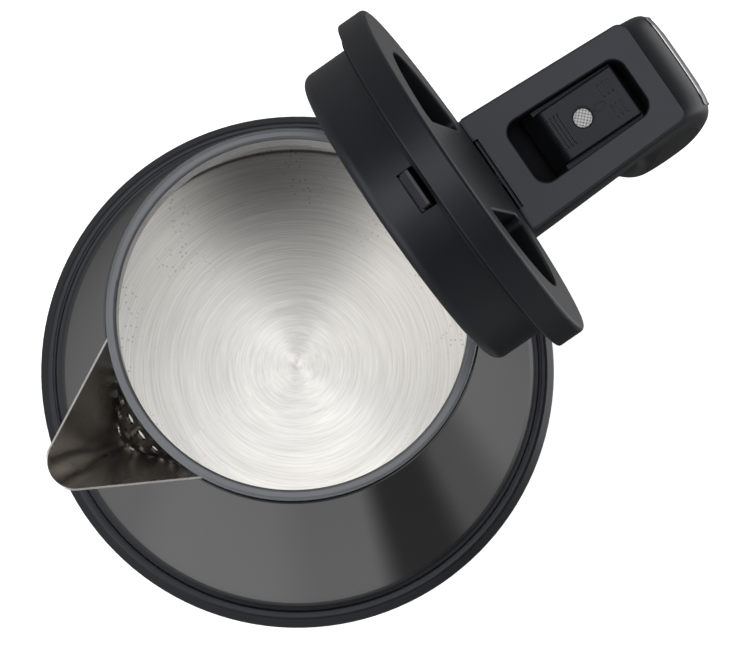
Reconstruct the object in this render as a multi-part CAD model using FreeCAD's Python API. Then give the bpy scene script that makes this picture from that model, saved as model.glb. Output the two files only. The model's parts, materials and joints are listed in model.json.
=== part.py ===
import FreeCAD, Part
import os
from math import radians, sin, cos, tan, pi, hypot, sqrt, copysign

# Cordless electric kettle on its round power base. Millimetres, +Z up, +X towards the handle.
# The base is built from z = 0; the jug, lid and handle are built from the jug's own foot
# and lifted by base_height when saved.

os.makedirs("parts", exist_ok=True)
Vec = FreeCAD.Vector
axis_x = Vec(1, 0, 0)
axis_y = Vec(0, 1, 0)
axis_z = Vec(0, 0, 1)

# overall sizes
base_height = 22.0
foot_radius = 82.0
mouth_height = 201.3
mouth_radius = 48.0
run_gap = 0.05
seat_gap = 0.1

# power base
base_radius = foot_radius - 4.5
base_wall = 2.2
base_under = 1.6
base_floor_thick = 2.0
base_edge_round = 4.5
plateau_rise = 4.0
plateau_radius = base_radius - 17.0
tower_radius = 13.0
tower_height = 18.0
tower_hole = tower_radius + 5.0
rubber_radius = 7.0
rubber_sink = 0.8
rubber_circle = base_radius - 19.5
base_screw_circle = base_radius - 11.5
cord_height = 10.0
cord_radius = 4.6

# contacts, from the socket's axis outwards
post_radius = 3.0
sleeve_inner = 3.2
sleeve_outer = 3.9
ring_a = (6.2, 7.0)
ring_b = (9.9, 10.7)
groove_a = (5.3, 7.6)
groove_b = (8.8, 11.3)
leaf_thick = 0.5
leaf_width = 2.2
groove_depth = 9.6

# walls of the jug
shell_foot_z = 15.4
shell_top_z = mouth_height - 3.8
shell_foot_radius = foot_radius - 4.6
shell_top_radius = mouth_radius + 3.67
shell_wall = 1.0
pot_floor_z = 31.0
pot_top_z = mouth_height - 13.3
pot_wall = 0.8
pot_top_inner = mouth_radius + 1.7
pot_floor_inner = shell_foot_radius - 6.0
floor_thick = 1.0
seal_thick = 0.6
diffuser_thick = 3.0
diffuser_radius = pot_floor_inner - 11.4
element_circle = diffuser_radius - 16.0
element_tube = 3.2
control_radius = 24.0
control_top = 23.0
lug_circle = control_radius + 5.0
cover_z = 5.2
cover_thick = 2.0
bottom_screw_circle = foot_radius - 15.6

# spout and strainer
spout_half_angle = 28.4
spout_reach = foot_radius - 2.5
spout_tip_round = 8.0
spout_foot_z = mouth_height - 51.3
spout_sheet = 0.7
strainer_hole = 1.75
strainer_rows = ((12.0, 7), (18.5, 6), (25.0, 5), (31.5, 4), (38.0, 2))

# lid, drawn shut and turned open about the hinge before saving
lid_open = 79.9
hinge_x = mouth_radius + 10.0
hinge_z = mouth_height - 1.3
pin_radius = 1.5
cap_radius = mouth_radius + 2.4
cap_thick = 8.1
cap_z = mouth_height + 0.5
pocket_corner = 2.5
pocket_edge = 0.7
plug_radius = mouth_radius - 3.6
plug_depth = 15.9
plug_wall = 1.8
dish_radius = 36.5
dish_z = cap_z - 1.8
bar_half = 13.5
lug_half = 10.8
knuckle_radius = 4.0
spring_half = 3.6
latch_half = 5.2
latch_travel = 5.0

# handle
plate_z = mouth_height + 0.9
plate_thick = 3.0
plate_near = hinge_x + 9.0
plate_length = 52.4
plate_near_half = 18.2
plate_far_half = 16.1
handle_wall = 2.4
ear_half = 16.6
steam_z = mouth_height - 7.8
wire_z = mouth_height - 20.3
well_near = plate_near + 8.5
well_length = 37.5
well_near_half = 10.0
well_far_half = 9.0
well_floor = plate_z - 12.0
well_wall = 1.2
pivot_x = plate_near + 30.5
pivot_z = plate_z - 7.2
rocker_near = plate_near + 17.5
rocker_length = 25.8
rocker_half = 8.0
skirt_gap = 0.4
skirt_drop = 3.0
rocker_top = plate_z + 0.4
well_edge = 0.5
rocker_edge = 0.6
bolt_edge = 0.3
lens_x = plate_near + 28.8
lens_radius = 2.9


def save(name, shape, lift=base_height):
    shape = shape.removeSplitter()
    shape.translate(Vec(0, 0, lift))
    shape.exportStep("parts/" + name + ".step")


def fuse(shapes):
    whole = shapes[0]
    for other in shapes[1:]:
        whole = whole.fuse(other)
    return whole


def cut(shape, tools):
    for tool in tools:
        shape = shape.cut(tool)
    return shape


def cylinder(radius, low, high, x=0.0, y=0.0):
    return Part.makeCylinder(radius, high - low, Vec(x, y, low), axis_z)


def bar_x(radius, x0, x1, y, z):
    return Part.makeCylinder(radius, x1 - x0, Vec(x0, y, z), axis_x)


def bar_y(radius, y0, y1, x, z):
    return Part.makeCylinder(radius, y1 - y0, Vec(x, y0, z), axis_y)


def box(x0, x1, y0, y1, z0, z1):
    return Part.makeBox(x1 - x0, y1 - y0, z1 - z0, Vec(x0, y0, z0))


def polar(radius, degrees):
    return radius * cos(radians(degrees)), radius * sin(radians(degrees))


# edges that lie on the level z, and upright edges
def level_edges(shape, z):
    return [edge for edge in shape.Edges if edge.BoundBox.ZMin > z - 0.01 and edge.BoundBox.ZMax < z + 0.01]


def upright_edges(shape):
    return [edge for edge in shape.Edges if edge.BoundBox.XLength + edge.BoundBox.YLength < 0.01]


# a closed wire through corners (u, v) or (u, v, round), each placed in space by the function at
def rounded_wire(corners, at):
    count = len(corners)
    points = []
    for index in range(count):
        u, v = corners[index][:2]
        size = corners[index][2] if len(corners[index]) > 2 else 0.0
        if size <= 0:
            points.append([(u, v)])
            continue
        before = corners[index - 1]
        after = corners[(index + 1) % count]
        ax, ay = before[0] - u, before[1] - v
        bx, by = after[0] - u, after[1] - v
        la, lb = hypot(ax, ay), hypot(bx, by)
        ax, ay, bx, by = ax / la, ay / la, bx / lb, by / lb
        half_cos = sqrt((1 + ax * bx + ay * by) / 2)
        half_sin = sqrt((1 - ax * bx - ay * by) / 2)
        back = size * half_cos / half_sin
        mx, my = ax + bx, ay + by
        length = hypot(mx, my)
        reach = size / half_sin - size
        middle = (u + mx / length * reach, v + my / length * reach)
        points.append([(u + ax * back, v + ay * back), middle, (u + bx * back, v + by * back)])
    edges = []
    for index in range(count):
        here = [at(*point) for point in points[index]]
        if len(here) == 3:
            edges.append(Part.Arc(here[0], here[1], here[2]).toShape())
        start = here[-1]
        end = at(*points[(index + 1) % count][0])
        if start.distanceToPoint(end) > 1e-6:
            edges.append(Part.makeLine(start, end))
    return Part.Wire(edges)


def turned(corners):
    face = Part.Face(rounded_wire(corners, lambda r, z: Vec(r, 0, z)))
    return face.revolve(Vec(0, 0, 0), axis_z, 360)


def plan_block(corners, low, high):
    face = Part.Face(rounded_wire(corners, lambda x, y: Vec(x, y, low)))
    return face.extrude(Vec(0, 0, high - low))


def side_block(corners, half_width):
    face = Part.Face(rounded_wire(corners, lambda x, z: Vec(x, -half_width, z)))
    return face.extrude(Vec(0, 2 * half_width, 0))


def tube(outer, inner, low, high):
    return cylinder(outer, low, high).cut(cylinder(inner, low - 1, high + 1))


def wire_run(points, radius):
    pieces = []
    for start, end in zip(points, points[1:]):
        step = Vec(*end) - Vec(*start)
        pieces.append(Part.makeCylinder(radius, step.Length, Vec(*start), step))
    for point in points:
        pieces.append(Part.makeSphere(radius, Vec(*point)))
    return fuse(pieces)


def coil(radius, wire, pitch, length, start, direction):
    helix = Part.makeHelix(pitch, length, radius)
    profile = Part.Wire(Part.makeCircle(wire, Vec(radius, 0, 0), axis_y))
    spring = Part.Wire(helix).makePipeShell([profile], True, True)
    spring.Placement = FreeCAD.Placement(Vec(*start), FreeCAD.Rotation(axis_z, direction))
    return spring


# radius of the jug's outer wall, outside face, at height z above the jug's foot
def shell_at(z):
    share = (z - shell_foot_z) / (shell_top_z - shell_foot_z)
    return shell_foot_radius + (shell_top_radius - shell_foot_radius) * share


# radius of the inner pot, inside face
def pot_at(z):
    share = (z - pot_floor_z) / (pot_top_z - pot_floor_z)
    return pot_floor_inner + (pot_top_inner - pot_floor_inner) * share


# power base -------------------------------------------------------------------------------

def base_shell():
    top = base_height
    wall = base_wall
    shell = turned([
        (base_radius, base_under), (base_radius, top, base_edge_round), (plateau_radius, top),
        (plateau_radius, top + plateau_rise, 1.5), (tower_hole, top + plateau_rise),
        (tower_hole, top + plateau_rise - wall), (plateau_radius - wall, top + plateau_rise - wall),
        (plateau_radius - wall, top - wall), (base_radius - wall, top - wall, base_edge_round - wall),
        (base_radius - wall, base_under)])
    floor_top = base_under + base_floor_thick
    for quarter in range(4):
        x, y = polar(base_screw_circle, 45 + 90 * quarter)
        boss = cylinder(3.6, floor_top, top - wall / 2, x, y)
        shell = shell.fuse(boss).cut(cylinder(1.4, floor_top - 1, top - wall - 2, x, y))
    return shell.cut(bar_x(cord_radius, base_radius - 6, base_radius + 2, 0, cord_height))


def base_floor():
    low = base_under
    high = base_under + base_floor_thick
    floor = cylinder(base_radius - base_wall - seat_gap, low, high)
    tools = []
    for x, y in foot_places():
        tools.append(cylinder(rubber_radius + seat_gap, low - 1, low + rubber_sink, x, y))
    for quarter in range(4):
        x, y = polar(base_screw_circle, 45 + 90 * quarter)
        tools.append(cylinder(1.7, low - 1, high + 1, x, y))
        tools.append(cylinder(3.1, low - 1, low + 1.2, x, y))
    for step in range(5):
        y = -12 + 6 * step
        tools.append(box(-48, -30, y - 1, y + 1, low - 1, high + 1))
    floor = cut(floor, tools)
    guide = tube(control_radius + 2, control_radius, high, high + 2)
    guide = guide.cut(box(0, control_radius + 4, -12, 12, high - 1, high + 3))
    return floor.fuse(guide)


def foot_places():
    return [(0.0, 0.0)] + [polar(rubber_circle, 90 * quarter) for quarter in range(4)]


def base_feet():
    feet = []
    for x, y in foot_places():
        foot = cylinder(rubber_radius, 0, base_under + rubber_sink, x, y)
        low_edges = [edge for edge in foot.Edges if edge.BoundBox.ZMax < 0.01]
        feet.append(foot.makeFillet(0.6, low_edges))
    return Part.makeCompound(feet)


def screw_up(x, y, head_low, head_high, tip, head=2.6, shank=1.35):
    screw = cylinder(head, head_low, head_high, x, y).fuse(cylinder(shank, head_high, tip, x, y))
    slot = box(x - 1.9, x + 1.9, y - 0.35, y + 0.35, head_low - 1, head_low + 0.5)
    cross = box(x - 0.35, x + 0.35, y - 1.9, y + 1.9, head_low - 1, head_low + 0.5)
    return cut(screw, [slot, cross])


def base_screws():
    low = base_under
    screws = []
    for quarter in range(4):
        x, y = polar(base_screw_circle, 45 + 90 * quarter)
        screws.append(screw_up(x, y, low + 0.05, low + 1.2, low + 13))
    return Part.makeCompound(screws)


def leaf_box(groove, side, low, high, grow=0.0):
    near = groove[0] + seat_gap
    far = near + leaf_thick
    half = leaf_width / 2 + grow
    if side > 0:
        return box(-half, half, near - grow, far + grow, low, high)
    return box(-half, half, -far - grow, -near + grow, low, high)


def socket_housing():
    low = base_under + base_floor_thick
    top = base_height + tower_height
    deck = base_height + plateau_rise
    body = turned([
        (0, low), (control_radius - seat_gap, low), (control_radius - seat_gap, low + 2),
        (tower_hole - 0.6, low + 2), (tower_hole - 0.6, deck - base_wall - 2.6),
        (tower_hole + 3, deck - base_wall - 2.6), (tower_hole + 3, deck - base_wall - seat_gap),
        (tower_hole - 0.6, deck - base_wall - seat_gap), (tower_hole - 0.6, deck, 0.8),
        (tower_radius, deck), (tower_radius, top, 1.0), (0, top)])
    bore = cylinder(post_radius + run_gap, low - 1, top - 6)
    mouth = cylinder(sleeve_outer + 0.4, top - 6, top + 1)
    bottom = top - groove_depth
    tools = [bore, mouth, tube(groove_a[1], groove_a[0], bottom, top + 1)]
    tools.append(tube(groove_b[1], groove_b[0], bottom, top + 1))
    tools.append(leaf_box(groove_a, 1, low - 1, bottom + 1, seat_gap))
    tools.append(leaf_box(groove_b, -1, low - 1, bottom + 1, seat_gap))
    for y in wire_rows():
        tools.append(box(-1.4, control_radius + 1, y - 1.2, y + 1.2, low - 1, low + 3.0))
    return cut(body, tools)


def wire_rows():
    return (groove_a[0] + seat_gap + leaf_thick / 2, 0.0, -(groove_b[0] + seat_gap + leaf_thick / 2))


def socket_contacts():
    low = base_under + base_floor_thick
    top = base_height + tower_height
    leaf_a = leaf_box(groove_a, 1, low + 0.3, top - 2.5)
    leaf_b = leaf_box(groove_b, -1, low + 0.3, top - 2.5)
    earth = cylinder(post_radius, low + 0.3, low + 4.0)
    tab = box(0, 9, -1, 1, low + 0.3, low + 1.1)
    return Part.makeCompound([leaf_a, leaf_b, earth.fuse(tab)])


def socket_post():
    low = base_under + base_floor_thick + 4.2
    top = base_height + tower_height - 1
    return turned([(0, low), (post_radius, low), (post_radius, top, 1.8), (0, top)])


def terminal_block():
    low = base_under + base_floor_thick
    block = box(48, 58, -12.5, 9, low, low + 7)
    tools = []
    for y in terminal_rows():
        tools.append(cylinder(1.7, low + 3.6, low + 8, 53, y))
        tools.append(bar_x(1.3, 47, 51, y, low + 1.9))
        tools.append(bar_x(1.3, 55, 59, y, low + 1.9))
    return cut(block, tools)


def terminal_rows():
    return (5.5, 0.0, -9.0)


def terminal_screws():
    low = base_under + base_floor_thick
    screws = []
    for y in terminal_rows():
        screw = cylinder(1.6, low + 3.7, low + 6.6, 53, y)
        screws.append(screw.cut(box(51, 55, y - 0.3, y + 0.3, low + 6.0, low + 7)))
    return Part.makeCompound(screws)


def base_wires():
    level = base_under + base_floor_thick + 1.9
    wires = []
    for start, end in zip(wire_rows(), terminal_rows()):
        first = 9.9 if start == 0.0 else leaf_width / 2 + 0.9
        run = [(first, start, level), (control_radius + 6, start, level), (44, end, level)]
        wires.append(wire_run(run + [(50.0, end, level)], 0.85))
    return Part.makeCompound(wires)


def cord_bush():
    outside = bar_x(cord_radius - seat_gap, base_radius - 5, base_radius + 1.2, 0, cord_height)
    collar = bar_x(cord_radius + 1.4, base_radius - 5, base_radius - base_wall - 1.2, 0, cord_height)
    return outside.fuse(collar).cut(bar_x(cord_radius - 1.4, base_radius - 7, base_radius + 3, 0, cord_height))


# jug, from the foot upwards ---------------------------------------------------------------

def foot_collar():
    lip_top = pot_floor_z - floor_thick - seal_thick - pot_wall
    body = turned([
        (69.3 / 82 * foot_radius, 0), (foot_radius - 2.4, 0, 2.5), (foot_radius, 4.5, 3.5),
        (foot_radius, 11.5, 3.5), (shell_foot_radius + 2.0, shell_foot_z + 1.0, 1.0),
        (shell_foot_radius + 0.5, shell_foot_z + 1.0), (shell_foot_radius + 0.5, shell_foot_z - 0.1),
        (shell_foot_radius - 1.5, shell_foot_z - 0.1), (shell_at(lip_top) - shell_wall - 0.5, lip_top),
        (foot_radius - 11.0, lip_top), (foot_radius - 11.0, cover_z + cover_thick),
        (foot_radius - 17.4, cover_z + cover_thick), (foot_radius - 17.4, 4.05),
        (69.3 / 82 * foot_radius, 4.05)])
    tools = [box(foot_radius - 13, foot_radius - 7.2, -3.4, 3.4, cover_z + cover_thick + 1, lip_top + 1)]
    for third in range(3):
        x, y = polar(bottom_screw_circle, 30 + 120 * third)
        tools.append(cylinder(1.4, 3, cover_z + cover_thick + 1, x, y))
    return cut(body, tools)


def bottom_cover():
    outer = foot_radius - 13.0
    step = foot_radius - 20.2
    top = cover_z + cover_thick
    cover = turned([
        (tower_radius + 2, cover_z), (step, cover_z), (step, 1.8), (outer, 1.8), (outer, 4.0),
        (foot_radius - 17.8, 4.0), (foot_radius - 17.8, top), (tower_radius + 2, top)])
    tools = []
    for third in range(3):
        x, y = polar(bottom_screw_circle, 30 + 120 * third)
        tools.append(cylinder(1.6, 1, 5, x, y))
    for step_index in range(6):
        slot = box(36, 50, -1.2, 1.2, cover_z - 1, top + 1)
        slot.rotate(Vec(0, 0, 0), axis_z, 60 * step_index)
        tools.append(slot)
    return cut(cover, tools)


def bottom_screws():
    screws = []
    for third in range(3):
        x, y = polar(bottom_screw_circle, 30 + 120 * third)
        screws.append(screw_up(x, y, 0.5, 1.8, 7.0))
    return Part.makeCompound(screws)


def spout_plan(apex, tip_round, back_x):
    half = (back_x - apex) * tan(radians(spout_half_angle))
    return [(back_x, -half), (back_x, half), (apex, 0, tip_round)]


# the solid inside or outside of the spout's sheet, inset being the step inwards from its outside
def spout_solid(inset, low, high):
    sine = sin(radians(spout_half_angle))
    tip_top = -(spout_reach + spout_tip_round / sine - spout_tip_round)
    tip_foot = -(shell_at(spout_foot_z) + 1.0)
    back = -(mouth_radius - 8.0)
    wires = []
    for z in (low, high):
        share = (z - spout_foot_z) / (shell_top_z - spout_foot_z)
        apex = tip_foot + (tip_top - tip_foot) * share + inset / sine
        tip_round = 1.9 + (spout_tip_round - 1.9) * share - inset
        plan = spout_plan(apex, tip_round, back)
        wires.append(rounded_wire(plan, lambda x, y, level=z: Vec(x, y, level)))
    return Part.makeLoft(wires, True, True)


def spout():
    outside = spout_solid(0, spout_foot_z, shell_top_z)
    inside = spout_solid(spout_sheet, spout_foot_z + 0.6, shell_top_z + 1)
    neck = mouth_radius + 2.35 + seat_gap
    core = turned([
        (0, 100), (pot_at(100) + pot_wall + run_gap, 100),
        (pot_at(pot_top_z) + pot_wall + run_gap, pot_top_z), (neck, pot_top_z),
        (neck, mouth_height), (0, mouth_height)])
    return cut(outside, [inside, core])


def outer_shell():
    body = turned([
        (shell_foot_radius, shell_foot_z), (shell_top_radius, shell_top_z),
        (shell_top_radius - shell_wall, shell_top_z), (shell_foot_radius - shell_wall, shell_foot_z)])
    window = spout_solid(-0.1, spout_foot_z - 0.2, shell_top_z + 1)
    tools = [window, bar_x(3.4, mouth_radius, hinge_x + 8, 0, wire_z)]
    tools.append(bar_x(2.25, mouth_radius, hinge_x + 8, 0, steam_z))
    body = cut(body, tools)
    for y in (-11.0, 11.0):
        reach = sqrt(shell_at(wire_z) ** 2 - y * y)
        stud = bar_x(2.4, reach - 0.5, hinge_x - 0.9, y, wire_z)
        body = body.fuse(stud).cut(bar_x(1.3, reach + 0.6, hinge_x, y, wire_z))
    return body


def inner_pot():
    low = pot_floor_z - floor_thick - seal_thick - pot_wall
    lip = pot_floor_inner - 5.4
    body = turned([
        (lip, low), (pot_at(low) + pot_wall, low), (pot_at(pot_top_z) + pot_wall, pot_top_z),
        (pot_at(pot_top_z), pot_top_z), (pot_at(low + pot_wall), low + pot_wall),
        (lip, low + pot_wall)])
    tools = []
    for drop, count in strainer_rows:
        z = mouth_height - 3.0 - drop
        spread = 6.0
        for index in range(count):
            angle = (index - (count - 1) / 2) * spread
            hole = bar_x(strainer_hole, mouth_radius - 3, shell_at(z) + 4, 0, z)
            hole.rotate(Vec(0, 0, 0), axis_z, 180 + angle)
            tools.append(hole)
    return cut(body, tools)


def mouth_ring():
    leg = mouth_radius + 2.35
    band = mouth_radius + 2.9
    ring = turned([
        (mouth_radius, pot_top_z), (leg, pot_top_z), (leg, shell_top_z + 0.1),
        (band, shell_top_z + 0.7), (band, mouth_height, 0.9), (mouth_radius, mouth_height, 0.9)])
    keeper = box(-mouth_radius - 1.7, -mouth_radius + 2, -latch_half - 0.8, latch_half + 0.8,
                 cap_z - 5.6, cap_z - 1.9)
    return cut(ring, [keeper, bar_x(2.2, mouth_radius - 3, mouth_radius + 5, 0, steam_z)])


def floor_plate():
    low = pot_floor_z - floor_thick
    return cylinder(pot_at(pot_floor_z) - seat_gap, low, pot_floor_z)


def floor_seal():
    low = pot_floor_z - floor_thick - seal_thick
    return tube(pot_floor_inner - 0.2, pot_floor_inner - 5.0, low, low + seal_thick)


def element_path(radius):
    level = pot_floor_z - floor_thick - diffuser_thick - element_tube * 0.56
    circle = Part.makeCircle(radius, Vec(element_circle, 0, level), axis_y)
    face = Part.Face(Part.Wire(circle))
    face.rotate(Vec(0, 0, 0), axis_z, 30)
    ring = face.revolve(Vec(0, 0, 0), axis_z, 300)
    ends = [ring]
    for angle in (30, -30):
        x, y = polar(element_circle, angle)
        ends.append(cylinder(radius, level - 5, level + 1.0, x, y))
    return fuse(ends)


def control_posts():
    return [(polar(lug_circle, 90 + 120 * third)) for third in range(3)]


def diffuser():
    low = pot_floor_z - floor_thick - diffuser_thick
    tools = [element_path(element_tube + run_gap)]
    for x, y in control_posts():
        tools.append(cylinder(1.6, low - 1, low + 2.2, x, y))
    return cut(cylinder(diffuser_radius, low, low + diffuser_thick), tools)


def heating_element():
    return element_path(element_tube)


def element_pins():
    level = pot_floor_z - floor_thick - diffuser_thick - element_tube * 0.56 - 5
    pins = []
    for angle in (30, -30):
        x, y = polar(element_circle, angle)
        pins.append(fuse([cylinder(2.6, level - 1.5, level, x, y), cylinder(1.2, level - 7, level - 1, x, y)]))
    return Part.makeCompound(pins)


def control_unit():
    low = cover_z + cover_thick
    roof = tower_height + 0.6
    well = tower_radius + 0.6
    body = turned([
        (well, low), (control_radius, low), (control_radius, control_top, 1.0), (0, control_top),
        (0, roof), (well, roof)])
    for x, y in control_posts():
        lug = box(control_radius - 4, lug_circle + 4, -4, 4, control_top - 3, control_top - 0.5)
        angle = FreeCAD.Vector(x, y, 0).getAngle(axis_x) * 180 / pi
        lug.rotate(Vec(0, 0, 0), axis_z, copysign(angle, y))
        body = body.fuse(lug).cut(cylinder(1.7, control_top - 5, control_top + 1, x, y))
    for x in (-11, 11):
        body = body.fuse(cylinder(2.6, control_top - 1, control_top + 2.2, x, 0))
    top = roof + 2.2
    slots = [tube(ring_a[1], ring_a[0], roof - 1, top), tube(ring_b[1], ring_b[0], roof - 1, top)]
    slots.append(tube(sleeve_outer, sleeve_inner, roof - 1, top))
    return cut(body, slots)


def limiter_discs():
    low = control_top + 2.2
    discs = [cylinder(9, low, low + 0.8, x, 0) for x in (-11, 11)]
    return Part.makeCompound(discs)


def control_screws():
    low = control_top - 3
    tip = pot_floor_z - floor_thick - diffuser_thick + 2
    screws = [screw_up(x, y, low - 1.6, low, tip, 2.6, 1.5) for x, y in control_posts()]
    return Part.makeCompound(screws)


def connector_rings():
    low = tower_height - groove_depth + 0.6
    top = tower_height + 2.8
    return Part.makeCompound([tube(ring_a[1], ring_a[0], low, top), tube(ring_b[1], ring_b[0], low, top)])


def connector_sleeve():
    return tube(sleeve_outer, sleeve_inner, tower_height - 5.4, tower_height + 2.8)


# wires from the control unit, up between the two walls, to the switch in the handle
def wiring():
    low = cover_z + cover_thick + 2.5
    lip = pot_floor_z - floor_thick - seal_thick - pot_wall
    wires = []
    for y in (-1.7, 0.0, 1.7):
        def gap_x(z):
            middle = (pot_at(z) + pot_wall + shell_at(z) - shell_wall) / 2
            return sqrt(middle * middle - y * y)
        wires.append(wire_run([
            (control_radius + 0.6, y, low), (foot_radius - 12.4, y, low), (gap_x(lip) - 0.1, y, lip - 4),
            (gap_x(lip + 3), y, lip + 3), (gap_x(wire_z - 2.5), y, wire_z - 2.5),
            (hinge_x, y, wire_z + 0.2), (well_near + 8.4, y, wire_z + 0.2)], 0.6))
    return Part.makeCompound(wires)


def steam_duct():
    duct = bar_x(2.1, mouth_radius + 0.3, well_near - well_wall - 1.2, 0, steam_z)
    return duct.cut(bar_x(1.5, mouth_radius - 2, well_near, 0, steam_z))


# handle -----------------------------------------------------------------------------------

# sections along the handle: x, z, direction in degrees, half width, half thickness, squareness
def handle_sections():
    px = hinge_x
    pz = mouth_height
    return [
        (px - 13.0, pz - 18.4, 0, 18.0, 13.4, 6.0),
        (px - 0.5, pz - 17.2, 0, 18.6, 13.3, 6.0),
        (px + 10.0, pz - 12.9, 0, 18.8, 14.9, 6.0),
        (px + 26.0, pz - 11.5, 0, 18.2, 13.9, 6.0),
        (px + 42.0, pz - 11.9, -6, 17.4, 14.2, 6.0),
        (px + 55.2, pz - 15.6, -38, 16.8, 16.1, 6.0),
        (px + 59.7, pz - 28.5, -73, 18.0, 13.9, 6.0),
        (px + 59.8, pz - 46.0, -90, 18.8, 12.6, 5.4),
        (px + 59.0, pz - 71.0, -90, 17.8, 11.6, 4.4),
        (px + 58.5, pz - 96.0, -90, 15.0, 10.4, 3.4),
        (px + 58.5, pz - 119.0, -90, 12.0, 9.0, 2.8),
        (px + 58.9, pz - 135.0, -90, 9.8, 7.6, 2.5),
        (px + 59.1, pz - 141.0, -90, 7.4, 5.4, 2.2),
        (px + 59.2, pz - 143.0, -90, 4.0, 2.9, 2.0)]


def handle_wire(section, inset, shift):
    x, z, direction, half_width, half_thick, power = section
    angle = radians(direction)
    along = Vec(cos(angle), 0, sin(angle))
    normal = Vec(-sin(angle), 0, cos(angle))
    centre = Vec(x, 0, z) + along * shift
    points = []
    for index in range(32):
        turn = 2 * pi * (index + 0.5) / 32
        c, s = cos(turn), sin(turn)
        y = (half_width - inset) * copysign(abs(c) ** (2 / power), c)
        n = (half_thick - inset) * copysign(abs(s) ** (2 / power), s)
        points.append(centre + axis_y * y + normal * n)
    curve = Part.BSplineCurve()
    curve.interpolate(points, PeriodicFlag=True)
    return Part.Wire(curve.toShape())


def handle_solid(inset):
    sections = handle_sections()
    wires = [handle_wire(section, inset, 0) for section in sections[:-1]]
    wires.append(handle_wire(sections[-1], inset, -inset * 1.3))
    return Part.makeLoft(wires, True, False)


def jug_core(grow):
    return turned([
        (0, 100), (shell_at(100) + grow, 100), (shell_at(shell_top_z) + grow, shell_top_z),
        (mouth_radius + 2.9 + grow, shell_top_z + 0.7), (mouth_radius + 2.9 + grow, mouth_height + 2),
        (0, mouth_height + 2)])


def above_plate():
    return box(hinge_x + 5, hinge_x + 90, -40, 40, plate_z, plate_z + 60)


def pad_block(side, grow, face_y):
    centre_x = hinge_x + 60.0
    centre_z = mouth_height - 47.0
    ellipse = Part.Ellipse(Vec(0, 0, 0), 31.0 + grow, 8.5 + grow)
    face = Part.Face(Part.Wire(ellipse.toShape()))
    face.rotate(Vec(0, 0, 0), axis_x, 90)
    face.rotate(Vec(0, 0, 0), axis_y, 90)
    face.translate(Vec(centre_x, side * face_y, centre_z))
    return face.extrude(Vec(0, side * 20, 0))


def spine_block(grow):
    return box(hinge_x + 60, hinge_x + 90, -7.5 - grow, 7.5 + grow,
               mouth_height - 105 - grow, mouth_height - 20 + grow)


def handle_shell(outside, inside):
    shell = outside.cut(inside)
    web = box(hinge_x - 0.8, hinge_x + 1.6, -30, 30, mouth_height - 40, mouth_height - 6)
    web = web.common(outside)
    web = cut(web, [box(hinge_x - 2, hinge_x + 3, -3.6, 3.6, wire_z - 2.6, wire_z + 2.6)])
    shell = shell.fuse(web)
    ears = []
    for side in (-1, 1):
        near, far = sorted((side * (lug_half + 0.8), side * ear_half))
        ear = bar_y(knuckle_radius + 0.2, near, far, hinge_x, hinge_z)
        stalk = box(hinge_x - knuckle_radius - 0.2, hinge_x + knuckle_radius + 0.2, near, far,
                    hinge_z - 8, hinge_z)
        ears += [ear, stalk]
    shell = fuse([shell] + ears)
    tools = [jug_core(0.15), above_plate()]
    tools.append(bar_y(knuckle_radius + 0.6, -lug_half - 0.4, lug_half + 0.4, hinge_x, hinge_z))
    tools.append(box(hinge_x - 12, plate_near + 0.6, -lug_half - 0.4, lug_half + 0.4,
                     hinge_z - 0.2, hinge_z + 20))
    tools.append(bar_y(pin_radius + 0.02, -ear_half - 1, ear_half + 1, hinge_x, hinge_z))
    tools.append(bar_x(2.2, mouth_radius, hinge_x + 12, 0, steam_z))
    for y in (-11.0, 11.0):
        tools.append(bar_x(1.5, hinge_x - 3, hinge_x + 4, y, wire_z))
        tools.append(bar_x(2.6, hinge_x - 12, hinge_x - 0.8, y, wire_z))
        tools.append(pad_block(copysign(1, y), 0, 17.0))
    tools.append(spine_block(0).common(outside).cut(handle_solid(1.2)))
    tools.append(plan_block(well_plan(well_wall + seat_gap), well_floor - 4, plate_z + 1))
    return cut(shell, tools)


def grip_pads(outside):
    pads = [pad_block(side, -0.15, 17.02).common(outside) for side in (-1, 1)]
    return Part.makeCompound(pads)


def spine_trim(outside):
    return spine_block(-0.12).common(outside).cut(handle_solid(1.16))


def well_plan(grow):
    near = well_near - grow
    far = well_near + well_length + grow
    size = 4.0 + grow
    return [(near, -well_near_half - grow, size), (far, -well_far_half - grow, size),
            (far, well_far_half + grow, size), (near, well_near_half + grow, size)]


def top_plate():
    far = plate_near + plate_length
    top = plate_z + plate_thick
    slab = plan_block([
        (plate_near, -plate_near_half, 1.0), (far, -plate_far_half, 3.0),
        (far, plate_far_half, 3.0), (plate_near, plate_near_half, 1.0)], plate_z, top)
    edges = [edge for edge in slab.Edges if edge.BoundBox.ZMin > top - 0.01]
    slab = slab.makeChamfer(0.5, edges)
    slab = slab.cut(box(plate_near - 1, plate_near + 1.4, -lug_half - 0.4, lug_half + 0.4,
                        plate_z - 1, top + 1))
    well = plan_block(well_plan(well_wall), well_floor - well_wall, plate_z + 0.5)
    opening = plan_block(well_plan(0), well_floor, top + 1)
    tools = [opening, bar_y(pin_radius + run_gap, -14, 14, pivot_x, pivot_z)]
    tools.append(box(pivot_x - 4.5, pivot_x + 4.5, -4, 4, well_floor - 3, well_floor + 1))
    tools.append(cylinder(1.7, well_floor - 3, well_floor + 1, pivot_x - 7.5, 0))
    plate = cut(slab.fuse(well), tools)
    rim = [edge for edge in level_edges(plate, top) if edge.BoundBox.XMin > well_near - 0.1
           and edge.BoundBox.XMax < well_near + well_length + 0.1]
    return plate.makeFillet(well_edge, rim)


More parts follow.
